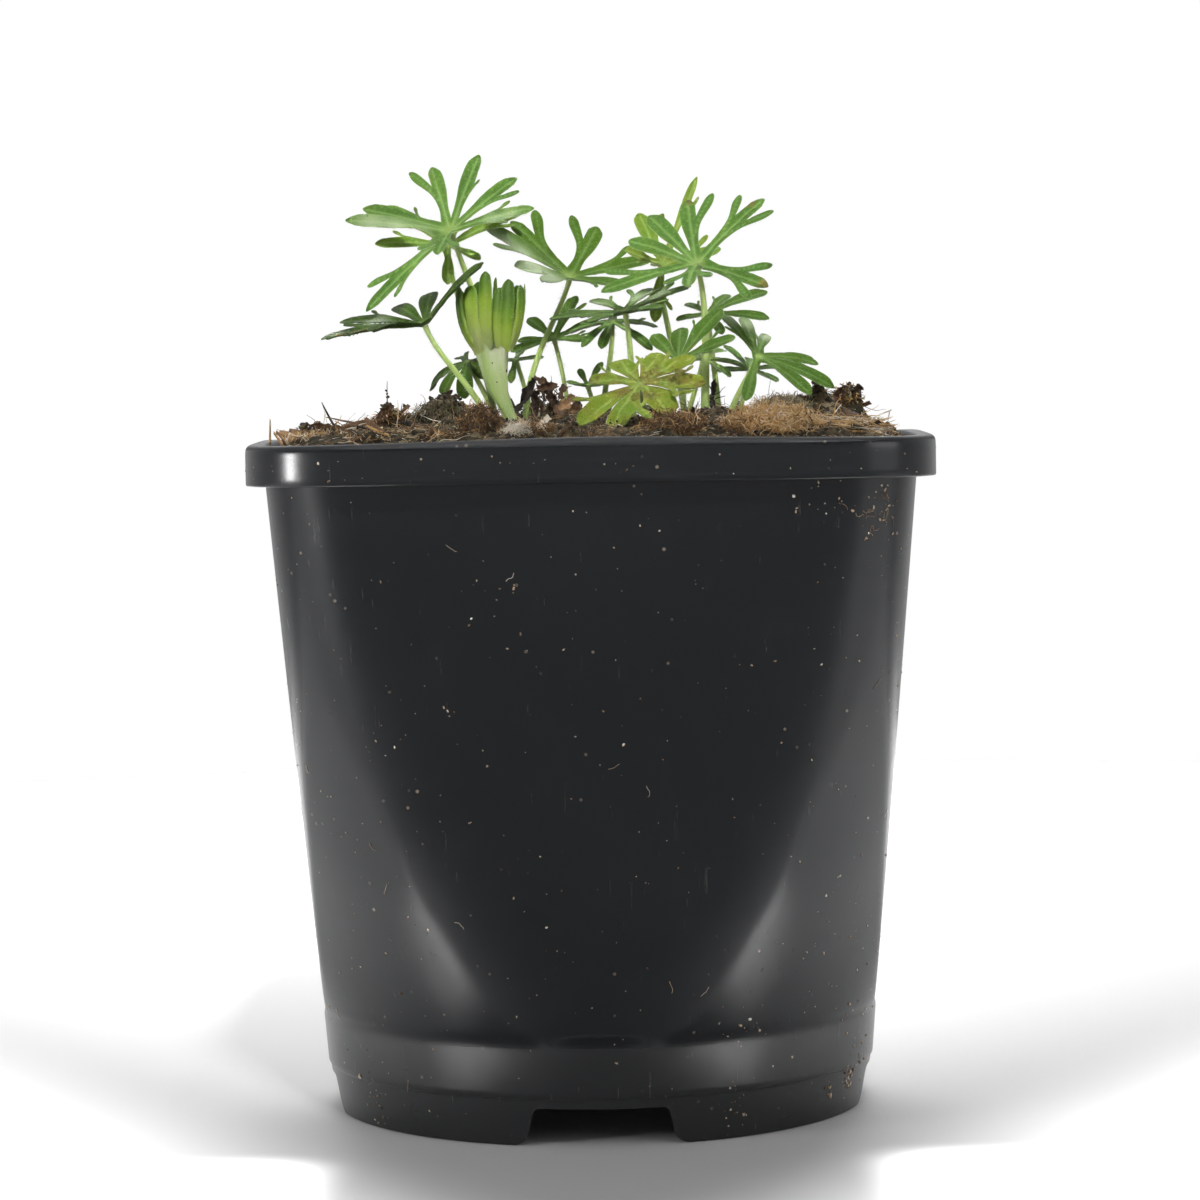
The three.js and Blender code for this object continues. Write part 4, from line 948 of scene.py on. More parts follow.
# Straws and twigs: start, heading and pitch in degrees, length, radius, tone.
STRAWS = [
    ((-55.4, -25, 152.5), 150, 60, 8.5, 0.32, 0.02), ((-70, -30, 149.5), 90, 86, 6.8, 0.26, 0.62),
    ((-43, -5, 155), 60, 62, 4.6, 0.16, 0.12), ((-48, -22, 153.6), 182, 6, 11, 0.28, 0.4),
    ((-41, -60, 151), 165, 27, 7.5, 0.42, 0.72), ((60, -30, 152), 18, 24, 6, 0.16, 0.95),
    ((66, -28, 155.4), 196, -24, 7, 0.16, 0.95), ((65.6, -28, 155.4), 262, -62, 3, 0.16, 0.9),
    ((51, -38, 152), 55, 34, 9, 0.2, 0.9), ((53, -42, 151.5), 140, 20, 9, 0.16, 0.95),
    ((30, -58, 150.6), 8, 5, 12, 0.2, 0.6), ((56, 2, 153), 110, 72, 8, 0.2, 0.85),
    ((22, -50, 151), 30, 28, 9, 0.18, 0.85), ((-64, 30, 151), 70, 14, 16, 0.3, 0.6),
    ((24, 56, 150.8), 170, 8, 18, 0.3, 0.66), ((-12, 52, 151.4), 20, 20, 12, 0.26, 0.7),
]
# Tangles of coir: middle, half sizes, number of fibres, tone, spread of tone, length, thickness, bend.
TANGLES = [
    ((-23.4, -56, 153.0), (4.3, 7, 4.6), 680, 0.38, 0.2, 3.0, 0.12, 0.8),
    ((-15.2, -62, 151.6), (2.7, 3.2, 2.1), 330, 1.0, 0.1, 3.2, 0.06, 0.6),
    ((-10.4, -60, 151.8), (3.0, 4.0, 2.2), 230, 0.45, 0.15, 2.4, 0.1, 0.6),
    ((18.0, -54, 151.6), (7.6, 12, 4.4), 800, 0.44, 0.15, 3.2, 0.11, 0.5),
    ((38.5, -54, 151.2), (10.5, 13, 5.6), 1260, 0.76, 0.08, 3.6, 0.12, 0.4),
    ((33.5, -62, 151.6), (4.6, 4, 3.0), 90, 0.42, 0.1, 3.2, 0.12, 0.5),
    ((44, -60, 152.4), (3.4, 4, 2.8), 60, 0.45, 0.1, 3.2, 0.12, 0.5),
    ((30, -60, 151.2), (4, 5, 2.2), 140, 0.5, 0.1, 3, 0.11, 0.5),
    ((52, -3, 157.0), (2, 2.2, 3.8), 150, 0.5, 0.17, 2.2, 0.15, 0.6),
    ((58.4, 5, 156.6), (3.6, 2.6, 4.6), 260, 0.52, 0.18, 2.4, 0.17, 0.5),
    ((-44.5, -12, 155), (3.4, 3, 2.4), 150, 0.55, 0.18, 2.0, 0.13, 0.4),
    ((-58, -50, 151.2), (7, 8, 1.6), 200, 0.72, 0.18, 3.0, 0.11, 0.2),
    ((-32, -58, 150.9), (6, 9, 1.6), 260, 0.47, 0.2, 2.6, 0.1, 0.4),
    ((2, -60, 150.8), (9, 8, 1.5), 300, 0.36, 0.2, 2.8, 0.1, 0.4),
    ((-46, -58, 150.7), (7, 8, 1.3), 200, 0.62, 0.2, 2.8, 0.1, 0.3),
]
FELTED = 600  # a tangle with more fibres than this has a matted core
# Dead leaf stalks in the crown: middle, spread, height, number, tone.
DEAD_STALKS = [
    (-10, 5, 155, 3.4, 9, 80, 0.3), (28.3, 3, 155, 1.2, 7.5, 12, 0.04), (-7, 4, 154, 4, 5.5, 50, 0.34),
    (4, 14, 153.5, 4, 4, 18, 0.3), (-18, 12, 154, 4, 3.5, 16, 0.25), (24, 8, 154, 4, 3.5, 16, 0.3),
]
# Dead leaf bases, flat and dark, that stand in the crown: as CHIPS, and the tone.
LEAF_BASES = [
    (-16, 6, 10, 2.4, 62, 165, 0.03), (-10, 10, 8, 2.2, 58, 200, 0.25), (16, -28, 8, 1.6, 24, 205, 0.02),
    (28, 2, 7, 1.4, 74, 100, 0.02), (20, 0, 6, 2, 60, 20, 0.2), (4, 6, 6, 2, 52, 100, 0.2),
]
# Crumpled flakes: middle, size, the way they face, spin, curl and tone.
FLAKES = [
    ((-14, -2, 160), (8, 3), (-0.5, -1, 0.2), 1.2, 1.5, 0.0),
    ((-12.8, -1, 158), (6, 2.6), (0.4, -1, 0.1), 1.8, 1.5, 0.1),
    ((-9.8, 2, 161.4), (5, 3.4), (0.2, -1, 0.5), 0.4, 1.9, 0.36),
    ((-8.6, 1, 158.6), (5.6, 3), (0.5, -1, -0.2), 2.2, 1.6, 0.28),
    ((-11, 4, 163), (4, 2.4), (-0.3, -1, 0.6), 2.8, 1.6, 0.4),
    ((-6.6, 0, 160.6), (4, 2.2), (0.6, -1, 0.2), 1.4, 1.6, 0.34),
    ((-5.4, -8, 158), (5, 3), (0.3, -1, 0.3), 0.9, 1.3, 0.62),
    ((-3.6, -7, 156.6), (4, 2.6), (-0.4, -1, 0.3), 0.2, 1.2, 0.5),
    ((-9.9, -62, 153.9), (3.6, 1.7), (0.2, -1, 0.2), 0.9, 0.6, 0.96),
    ((-56.5, -36, 153.4), (9.5, 2), (0, -1, 0.5), 0.1, 1.8, 0.5),
    ((28, 2, 159.8), (6.5, 1.6), (-0.4, -1, 0), 1.5, 1.5, 0.0),
    ((-2.4, -4, 157), (4, 2), (0.1, -1, 0.4), 2.4, 1.5, 0.16),
    ((56.6, 3, 157.8), (6, 3), (-0.3, -1, 0.1), 1.4, 1.6, 0.3),
    ((60.4, 4, 158), (6.5, 3.2), (0.3, -1, 0), 1.7, 1.4, 0.22),
    ((58.6, 6, 156.6), (6, 4), (0, -1, 0.2), 0.2, 1.3, 0.36),
    ((51.6, -2, 158), (5.4, 2.6), (0.2, -1, 0), 1.5, 1.5, 0.3),
    ((-45.6, -14, 156.2), (4.6, 3.4), (-0.2, -1, 0.4), 1.1, 1.5, 0.42),
    ((-43, -13, 155.2), (4, 2.6), (0.3, -1, 0.4), 0.3, 1.4, 0.34),
]
# Specks on the sheath: middle and size.
SPECKS = [
    ((-18.5, -10.75, 165.5), (0.3, 0.25, 0.85)), ((-21.7, -10.6, 167.3), (0.35, 0.25, 0.35)),
    ((-20.7, -11.0, 163.0), (0.4, 0.3, 0.3)),
]
# Patches of moss: x, y, width, depth, number of shoots, height.
# Balls of it: middle, half sizes, number, tone.
MOSS = [
    (44, 6, 8, 5, 500, 1.1), (-34, 2, 8, 5, 300, 0.9), (-50, 24, 9, 7, 300, 1.2), (10, 40, 14, 8, 420, 1.2),
    (-30, -40, 8, 5, 160, 1.0), (60, 22, 6, 6, 240, 1.2), (2, -52, 12, 4, 160, 0.9),
]
MOSS_BALLS = [
    ((42.6, -12, 156), (7.2, 6, 3), 420, 0.62), ((-44, -49, 150.8), (4, 4, 1.2), 160, 0.6),
    ((-33, 2, 156.4), (8, 5, 1.8), 260, 0.4), ((-30, -46, 151), (5, 4, 1.2), 120, 0.5),
]


def soil_height(x, y):
    """Height of the medium. out is 1 at its edge and 0 in its middle."""
    x, y = np.asarray(x, float), np.asarray(y, float)
    out = ((np.abs(x) / SOIL_HALF) ** 6 + (np.abs(y) / SOIL_HALF) ** 6) ** (1 / 6)
    free = smoothstep(1 - out, 0, 0.1)
    z = SOIL_EDGE_Z + SOIL_SHOULDER * free + SOIL_CROWN * np.maximum(0, 1 - out)
    for mx, my, radius, height in MOUNDS:
        z = z + height * np.exp(-1.6 * ((x - mx) ** 2 + (y - my) ** 2) / radius**2) * free
    crumbs = np.sin(0.61 * x + 1.3 * np.sin(0.37 * y)) * np.sin(0.53 * y + 1.1 * np.sin(0.41 * x))
    return z + free * 0.9 * crumbs


def ground(x, y):
    """Height of the medium at one spot."""
    return float(soil_height(x, y))


def make_soil(material):
    around, rings, inset = 380, 110, WALL + 0.3
    turns = turns_of(around)
    rim = body_radius(turns, SOIL_EDGE_Z, inset)
    rows = [ring(turns, 60.2, FLOOR_TOP + 0.3)]
    rows += [ring(turns, body_radius(turns, z, inset), z) for z in (40, 90, 130)]
    for r in range(rings, 0, -1):
        share = r / rings
        radius = share * (rim * share**0.5 + 74 * 0.93 * (1 - share**0.5))
        flat = ring(turns, radius, 0)
        x, y = flat[:, 0], flat[:, 1]
        fade = min(1.0, (rings - r) / 6)
        rough = 0.75 * fractal(flat, 4.0, 1) + 0.5 * fractal(flat, 1.3, 2, 2)
        rows.append(np.stack([x, y, soil_height(x, y) + fade * rough], 1))
    shape = Shape()
    shape.add(np.vstack([*rows, rows[0].mean(0), rows[-1].mean(0)]), grid_faces(len(rows), around))
    shape.join(end_fans(len(rows), around))
    make_object("growing_medium_surface", shape, [material], "growing_medium")


def clear_of_wall(x, y, room):
    """Whether a spot is at least room away from the pot's inside."""
    reach = body_radius(np.array([math.atan2(y, x)]), 149.0, WALL + room)[0]
    return math.hypot(x, y) < reach


def all_clear(spots, room):
    return np.array([clear_of_wall(x, y, room) for x, y in spots])


def scatter(rng, room=1.5):
    """A random spot on the medium."""
    while True:
        x, y = rng.uniform(-70, 70, 2)
        if clear_of_wall(x, y, room):
            return x, y


def make_crumbs(material):
    rng = np.random.default_rng(21)
    shape = Shape("tone")

    def crumb(x, y, z, size, rough, large, tone):
        box = size * (0.6 + 0.8 * rng.random(3))
        add_lump(shape, (x, y, z), box, rng, rough, fine=size > large, tone=float(rng.normal(*tone)))

    for _ in range(CRUMBS):
        x, y = scatter(rng)
        size = (0.35 + 1.3 * rng.random() ** 4) * (0.75 if y < -35 else 1)
        crumb(x, y, ground(x, y) + 0.25 * size, size, 0.3, 1.0, (0.39, 0.17))
    for cx, cy, foot, width, height, count in CLODS:
        for _ in range(count):
            up = rng.random() ** 1.3
            spread = width * 0.5 * (1 - 0.55 * up)
            away = np.clip(rng.normal(size=2), -1.4, 1.4) * spread * 0.6
            x, y = cx + away[0], cy + away[1]
            if clear_of_wall(x, y, 1.2):
                size = 0.4 + 1.0 * rng.random() ** 2
                z = max(ground(x, y), foot - 1) + up * height * 0.8
                crumb(x, y, z, size, 0.4, 0.8, (0.48, 0.16))
    make_object("soil_crumbs", shape, [material], sharp=35)


def heading_way(heading, pitch):
    """A unit vector for a heading and a pitch in radians."""
    level = math.cos(pitch)
    return np.array([level * math.cos(heading), level * math.sin(heading), math.sin(pitch)])


def add_splinter(shape, x, y, length, width, lean, turn, tone, rng):
    """A flat splinter of bark with a frayed end, its grain along its length."""
    rows, columns = 12, 5
    lean, turn, roll = radians(lean), radians(turn), rng.uniform(-0.6, 0.6)
    thick = 0.7 + 0.5 * rng.random()
    ahead = heading_way(turn, lean)
    side = unit(np.cross(ahead, (0, 0, 1)))
    over = np.cross(side, ahead)
    side, over = math.cos(roll) * side + math.sin(roll) * over, math.cos(roll) * over - math.sin(roll) * side
    foot = np.array([x, y, ground(x, y) + 0.1])
    both = []
    for face in (1, -1):
        for i, s in enumerate(np.linspace(-0.3, 0.7, rows)):
            taper = 0.5 * width * (1 - 0.55 * abs((s - 0.2) / 0.5) ** 3) * (1 + 0.12 * rng.normal())
            bend = 0.04 * length * math.sin(3 * s)
            for j in range(columns):
                off = j / (columns - 1) * 2 - 1
                fray = 0.5 * rng.normal() * (0.5 if i in (0, rows - 1) else 0.06)
                lift = face * thick * 0.5 * (1 - 0.5 * abs(off) ** 2) + 0.07 * rng.normal()
                both.append(foot + ahead * (s * length + fray) + side * (off * taper) + over * (lift + bend))
    shape.add(both, slab_faces(rows, columns), tone=tone)


def make_bark(material):
    rng = np.random.default_rng(31)
    shape = Shape("tone")
    for chip in CHIPS:
        tone = rng.uniform(0.2, 0.5)
        add_splinter(shape, *chip, tone, rng)
    for _ in range(SPLINTERS):
        x, y = scatter(rng, 5)
        sizes = [rng.uniform(*limits) for limits in ((1.5, 5), (0.5, 1.5), (-8, 30), (0, 360), (0.05, 0.6))]
        add_splinter(shape, x, y, *sizes, rng)
    for chip in ORANGE_BARK:
        add_splinter(shape, *chip, rng)
    make_object("bark_chips", shape, [material], sharp=40)


def add_strand(shape, start, heading, pitch, length, radius, rng, tone, wander=0.35, on_ground=True, flat=1):
    """A curved fibre. On the ground it rides over the medium, and otherwise it keeps its own way."""
    steps = max(4, int(length / 1.3))
    path = [np.array(start, float)]
    for _ in range(steps):
        heading += rng.normal() * wander
        pitch += rng.normal() * wander * 0.6
        spot = path[-1] + heading_way(heading, pitch) * length / steps
        if on_ground:
            if not clear_of_wall(spot[0], spot[1], 0.7):
                heading += 1.2
                continue
            spot[2] = max(ground(spot[0], spot[1]) + 0.15, spot[2] - 0.25)
        path.append(spot)
    if len(path) < 4:
        return None
    path = spline(path, length / steps / 1.5)
    radii = radius * (1 - 0.6 * np.linspace(0, 1, len(path)) ** 2)
    shape.add(*tube(path, radii, 4, flat), tone=tone)
    return path


def add_curls(shape, starts, ways, lengths, radius, bend, rng, tones):
    """Short three-sided fibres, each wound round its own axis."""
    rows, count = 6, len(starts)
    way, axis = unit(ways), unit(rng.normal(size=(count, 3)))
    turn = (bend * rng.uniform(0.3, 1.3, count))[:, None]
    spots, sides = [np.asarray(starts, float)], []
    for _ in range(rows):
        turned = way * np.cos(turn) + np.cross(axis, way) * np.sin(turn)
        way = unit(turned + 0.12 * rng.normal(size=way.shape))
        sides.append(unit(np.cross(way, axis + 0.01)))
        spots.append(spots[-1] + way * (np.asarray(lengths) / rows)[:, None])
    path, side = np.stack(spots[:-1], 1), np.stack(sides, 1)
    over = unit(np.cross(side, np.gradient(path, axis=1)))
    thick = radius * (1 - 0.7 * np.linspace(0, 1, rows) ** 2)[None, :, None, None]
    c, s = np.cos(turns_of(3))[:, None], np.sin(turns_of(3))[:, None]
    rings = path[:, :, None] + thick * (c * side[:, :, None] + s * over[:, :, None])
    quads = grid_faces(rows, 3)
    ends = np.array([[2, 1, 0], [3 * rows - 3, 3 * rows - 2, 3 * rows - 1]])
    one = np.vstack([quads[:, [0, 1, 2]], quads[:, [0, 2, 3]], ends])
    faces = (3 * rows * np.arange(count)[:, None, None] + one).reshape(-1, 3)
    shape.add(rings.reshape(-1, 3), faces, tone=np.repeat(np.clip(tones, 0.03, 1.1), 3 * rows))


def make_fibres(material):
    rng = np.random.default_rng(41)
    shape = Shape("tone")
    for _ in range(FIBRES):
        x, y = scatter(rng, 3)
        start = (x, y, ground(x, y) + 0.3)
        sizes = [rng.uniform(*limits) for limits in (ANY_HEADING, (-0.2, 0.6), (2, 10), (0.045, 0.14))]
        add_strand(shape, start, *sizes, rng, rng.uniform(0.2, 0.95))
    for start, heading, pitch, length, radius, tone in STRAWS:
        add_strand(shape, start, radians(heading), radians(pitch), length, radius, rng, tone, 0.08, False)
    # A dry seed stalk with a few buds.
    stalk = add_strand(shape, (-45.6, -5, 156), radians(96), radians(78), 8.5, 0.14, rng, 0.2, 0.08, False)
    for share, size in ((0.4, 0.7), (0.52, 0.85), (0.62, 0.5), (0.74, 0.6)):
        spot = stalk[int(share * len(stalk))] + (0.2 * math.sin(40 * share), 0, 0)
        add_lump(shape, spot, (size, size, 1.3 * size), rng, 0.3, tone=0.25)
    make_object("coir_fibres", shape, [material])


def upper_ways(rng, number):
    """Random directions, none of them downwards."""
    out = unit(rng.normal(size=(number, 3)))
    out[:, 2] = np.abs(out[:, 2])
    return out


def surface_ways(rng, out):
    """Random directions that lie nearly flat on a surface that faces out."""
    ways = unit(rng.normal(size=out.shape))
    return ways - 0.8 * out * (ways * out).sum(1, keepdims=True)


def make_fuzz(material):
    """Fine bits of fibre all over the medium, and tangles where coir fibre has balled up."""
    rng = np.random.default_rng(45)
    shape = Shape("tone")
    spots = rng.uniform(-70, 70, (FUZZ, 2))
    spots[: FUZZ // 2, 1] = -70 + 45 * rng.random(FUZZ // 2)
    x, y = spots[all_clear(spots, 2.2)].T
    roots = np.stack([x, y, soil_height(x, y) + 0.2 + 0.4 * rng.random(len(x))], 1)
    ways = rng.normal(size=roots.shape) * (1, 1, 0.3) + (0, 0, 0.1)
    tones = np.repeat(np.clip(rng.normal(0.55, 0.24, len(x)), 0.05, 1.05), 4)
    add_spikes(shape, roots, ways, 0.8 + 2.0 * rng.random(len(x)) ** 2, 0.08, tone=tones)
    core, core_faces = finer(*finer(BALL, BALL_FACES))
    for middle, size, number, tone, spread, long, thick, bend in TANGLES:
        felted = number > FELTED
        if felted:
            at = core * size
            swell = 0.82 + 0.1 * fractal(at, 2.4, number) + 0.05 * fractal(at, 0.9, 7)
            mottle = fractal(at * (0.4, 1, 1.6), 1.2, number)
            shape.add(at * swell[:, None] + middle, core_faces, tone=tone - 0.16 + 0.26 * mottle)
        out = upper_ways(rng, number)
        x, y = out[:, :1] * size[0], out[:, 1:2] * size[1]
        lumps = 1 + 0.16 * np.sin(3.1 * x + number) * np.sin(2.3 * y + number)
        roots = middle + out * size * lumps * rng.uniform(0.84 if felted else 0.6, 1.02, (number, 1))
        free = all_clear(roots[:, :2], 2.2)
        roots, out = roots[free], out[free]
        ways = surface_ways(rng, out)
        lengths = long * (0.5 + rng.random(len(roots)))
        starts = roots - 0.4 * unit(ways) * lengths[:, None]
        add_curls(shape, starts, ways, lengths, thick, bend, rng, rng.normal(tone, spread, len(roots)))
    # The mat of straws at the right: they lie along it.
    number = MAT_STRAWS
    starts = np.stack([rng.uniform(47, 64, number), rng.uniform(-60, -28, number), np.zeros(number)], 1)
    starts[:, 2] = soil_height(starts[:, 0], starts[:, 1]) + 0.2 + 1.6 * rng.random(number) ** 2
    ways = [rng.choice([-1, 1], number), 0.5 * rng.normal(size=number), 0.16 * rng.normal(size=number)]
    ways = np.stack(ways, 1)
    kept = all_clear((starts + 5 * unit(ways))[:, :2], 1.5) & all_clear(starts[:, :2], 1.5)
    lengths = rng.uniform(3, 7, number)[kept]
    add_curls(shape, starts[kept], ways[kept], lengths, 0.14, 0.08, rng, rng.normal(0.76, 0.18, number)[kept])
    make_object("fine_fibres", shape, [material])


def add_flake(shape, middle, size, facing, spin, curl, tone):
    """A crumpled flake of dead leaf or bark, curled round its length."""
    rows, columns = 15, 11
    up = unit(np.array(facing, float))
    ahead = unit(np.cross(up, (0.2, 0.1, 1)))
    ahead = math.cos(spin) * ahead + math.sin(spin) * np.cross(up, ahead)
    side = np.cross(up, ahead)
    u, v = np.meshgrid(np.linspace(-1, 1, rows), np.linspace(-1, 1, columns), indexing="ij")
    u, v = u.ravel(), v.ravel()
    edge = 1 - 0.5 * np.abs(u) ** 3 + 0.2 * np.sin(5 * u + 7 * spin) + 0.12 * np.sin(13 * u + 3 * spin)
    bend = curl * v
    across = np.sin(bend) / curl * edge * size[1] / 2
    lift = (1 - np.cos(bend)) / curl * edge * size[1] / 2 + 0.12 * size[0] * u**2
    flat = np.stack([u * size[0] / 2, across, lift], 1)
    flat = flat + 0.45 * np.stack([fractal(flat + 9 * k, 1.1, 5 + spin) for k in range(3)], 1)
    both = np.vstack([flat, flat - (0, 0, 0.16)]) @ np.array([ahead, side, up]) + middle
    shape.add(both, slab_faces(rows, columns), 0 if tone > 0.95 else 1, tone=tone)


def make_litter(materials):
    """Dead leaf stalks and dark curled litter round the crown."""
    rng = np.random.default_rng(51)
    shape = Shape("tone")
    for cx, cy, cz, spread, height, count, tone in DEAD_STALKS:
        for _ in range(count):
            start = (cx + rng.normal() * spread * 0.5, cy + rng.normal() * spread * 0.5,
                     cz + rng.random() * height * 0.8 - 1)
            sizes = [rng.uniform(*limits) for limits in (ANY_HEADING, (-0.8, 1.1), (2.5, 6), (0.1, 0.34))]
            shade = float(np.clip(rng.normal(tone, 0.09), 0.02, 0.9))
            add_strand(shape, start, *sizes, rng, shade, 0.6, on_ground=False, flat=0.6)
    for base in LEAF_BASES:
        add_splinter(shape, *base, rng)
    for flake in FLAKES:
        add_flake(shape, *flake)
    for spot, size in SPECKS:
        add_lump(shape, spot, size, rng, 0.2, turn=np.eye(3), tone=0.02)
    make_object("crown_litter", shape, materials, sharp=60)


def make_moss(material):
    rng = np.random.default_rng(61)
    shape = Shape("tone")
    for cx, cy, width, depth, count, tall in MOSS:
        x = cx + rng.normal(size=count) * width * 0.5
        y = cy + rng.normal(size=count) * depth * 0.5
        x, y = np.stack([x, y], 1)[all_clear(zip(x, y), 2.5)].T
        roots = np.stack([x, y, soil_height(x, y) + 0.2], 1)
        ways = np.stack([rng.normal(size=len(x)) * 0.7, rng.normal(size=len(x)) * 0.7, np.ones(len(x))], 1)
        tones = np.repeat(np.clip(rng.normal(0.45, 0.22, len(x)), 0, 1), 4)
        add_spikes(shape, roots, ways, tall * (0.5 + rng.random(len(x))), 0.13, tone=tones)
    for middle, size, number, tone in MOSS_BALLS:
        out = upper_ways(rng, number)
        roots = middle + out * size * rng.uniform(0.75, 1, (number, 1))
        ways = surface_ways(rng, out)
        lengths = rng.uniform(1.2, 3.4, number)
        add_curls(shape, roots, ways, lengths, 0.1, 0.6, rng, rng.normal(tone, 0.2, number))
    make_object("moss", shape, [material])


# ---- Leaves ----
def lobes_of(leaf):
    """The blade's own axes, and its lobes in them: turn, length, lift, curl, side lobes and room."""
    tips = np.array([row[:3] for row in leaf["lobes"]], float)
    normal = unit(sum(np.cross(a, b) for a, b in zip(tips, tips[1:])))
    ahead = unit(tips[0] - normal * (tips[0] @ normal))
    axes = np.array([ahead, np.cross(normal, ahead), normal])
    curl = -radians(leaf["curl"])
    lobes, last = [], -1.0
    for k, tip in enumerate(tips):
        x, y, z = axes @ tip
        turn = math.atan2(y, x)
        if turn < last:
            turn += FULL_TURN
        last = turn
        reach = np.linalg.norm(tip)
        length = reach * curl / 2 / math.sin(curl / 2)
        room = [1.0, 1.0]
        for h, n in enumerate((k - 1, k + 1)):
            if 0 <= n < len(tips):
                cosine = tips[n] @ tip / np.linalg.norm(tips[n]) / reach
                room[h] = math.acos(max(-1, min(1, cosine))) / 2
        extra = leaf["lobes"][k][3:]
        after, before = extra if len(extra) == 2 else (0, 0)
        lobes.append({
            "turn": turn, "length": length, "lift": math.asin(z / reach) - curl / 2, "curl": curl,
            "sides": (before, after), "room": room,
            "wide": leaf.get("wide", 1) * leaf.get("slim", {}).get(k, 1) * min(1, LONGEST_BROAD / length),
        })
    return axes, lobes


def lobe_points(lobe, along, across, side):
    """Points of a bent lobe in the blade's own axes."""
    lean = lobe["lift"] + lobe["curl"] * along
    rise = across * math.sin(FOLD)
    out = (np.sin(lean) - math.sin(lobe["lift"])) / lobe["curl"] - rise * np.sin(lean)
    up = (math.cos(lobe["lift"]) - np.cos(lean)) / lobe["curl"] + rise * np.cos(lean)
    away = side * across * math.cos(FOLD)
    c, s = math.cos(lobe["turn"]), math.sin(lobe["turn"])
    return lobe["length"] * np.stack([out * c - away * s, out * s + away * c, up], -1)


def half_outline(lobe, h):
    """Half a lobe's outline in shares of its length, kept inside its room, and whether it has a side lobe."""
    narrow = min(lobe["wide"], math.tan(lobe["room"][h]) / 0.24)
    size = min(lobe["sides"][h], (lobe["room"][h] - 0.2) / 0.13)
    cut = size >= 0.3
    half = CUT if cut else PLAIN
    flank = half["flank"]
    made = {}
    for name, (along, across) in half.items():
        if cut and name in GROWS:
            along = flank[0] + (along - flank[0]) * size
            across = flank[1] + (across - flank[1]) * size
        made[name] = (along, across * narrow)
    return cut, made


def end_room(lobes):
    """How far the first and the last sinus lie from their lobes, as a turn."""
    return min(0.4, 0.4 * (FULL_TURN - (lobes[-1]["turn"] - lobes[0]["turn"])))


def sinus_point(lobes, k):
    """Where the outlines of lobes k - 1 and k meet near the hub."""
    near = [lobe_points(lobes[n], SINUS_REACH, 0.0, 1) for n in (k - 1, k) if 0 <= n < len(lobes)]
    if len(near) == 2:
        return (near[0] + near[1]) * 0.5 / math.cos(lobes[k - 1]["room"][1]) ** 0.5
    swing = end_room(lobes) * (-1 if k == 0 else 1)
    x, y, z = near[0]
    c, s = math.cos(swing), math.sin(swing)
    return np.array([x * c - y * s, x * s + y * c, z]) * 0.8


def distance_to_segments(points, starts, ends):
    """Each point's distance to each segment."""
    run = ends - starts
    length2 = np.maximum((run**2).sum(1), 1e-12)
    t = np.clip(((points[:, None] - starts[None]) * run[None]).sum(2) / length2, 0, 1)
    return np.linalg.norm(points[:, None] - (starts[None] + t[..., None] * run[None]), axis=2)


def inside_loop(points, loop):
    """Which flat points lie inside a loop of points."""
    x, y = points[:, :1], points[:, 1:]
    ax, ay = loop.T
    bx, by = np.roll(loop, -1, 0).T
    crosses = (ay > y) != (by > y)
    with np.errstate(divide="ignore", invalid="ignore"):
        at = (bx - ax) * (y - ay) / (by - ay) + ax
    return (crosses & (x < at)).sum(1) % 2 == 1


def half_curve(lobe, h, corner):
    """Half a lobe's outline from its sinus to just before its tip, and its side tip, as shares of length."""
    cut, p = half_outline(lobe, h)
    fine = 0.42 / lobe["length"]
    if not cut:
        stops = [corner, p["neck"], p["flank"], p["cheek"], p["shoulder"], (1.0, 0.0)]
        after = (p["shoulder"][0], -p["shoulder"][1])
        return spline(stops, fine, after=after), None
    notch, shoulder = np.array(p["notch"]), np.array(p["shoulder"])
    outer = spline([corner, p["neck"], p["flank"], p["outer"], p["sideTip"], p["inner"], notch], fine)
    belly = notch + (shoulder - notch) * 0.5 + (0, 0.05 * p["neck"][1])
    main = spline([notch, belly, shoulder, (1.0, 0.0)], fine, after=(shoulder[0], -shoulder[1]))
    return np.vstack([outer, main]), np.array(p["sideTip"])


def lobe_veins(lobe, tips):
    """Segments of a lobe's veins in mm: start, end, strength, width."""
    length = lobe["length"]
    veins = [((0, 0), (0.6 * length, 0), 1.0, 0.3), ((0.6 * length, 0), (0.95 * length, 0), 0.8, 0.2)]
    for side, tip in zip((-1, 1), tips):
        if tip is not None:
            knee, end = (tip[0] * 0.72, tip[1] * 0.42), (tip[0] * 0.97, tip[1] * 0.93)
            for a, b, strength in (((0.36, 0), knee, 0.75), (knee, end, 0.7)):
                a, b = ((x * length, y * length * side) for x, y in (a, b))
                veins.append((a, b, strength, 0.2))
        for start in (0.2, 0.33, 0.46, 0.6, 0.72, 0.83):
            if tip is None or not 0.3 < start < 0.5:
                end = ((start + 0.13) * length, 0.1 * side * length)
                veins.append(((start * length, 0), end, 0.38, 0.13))
    return veins


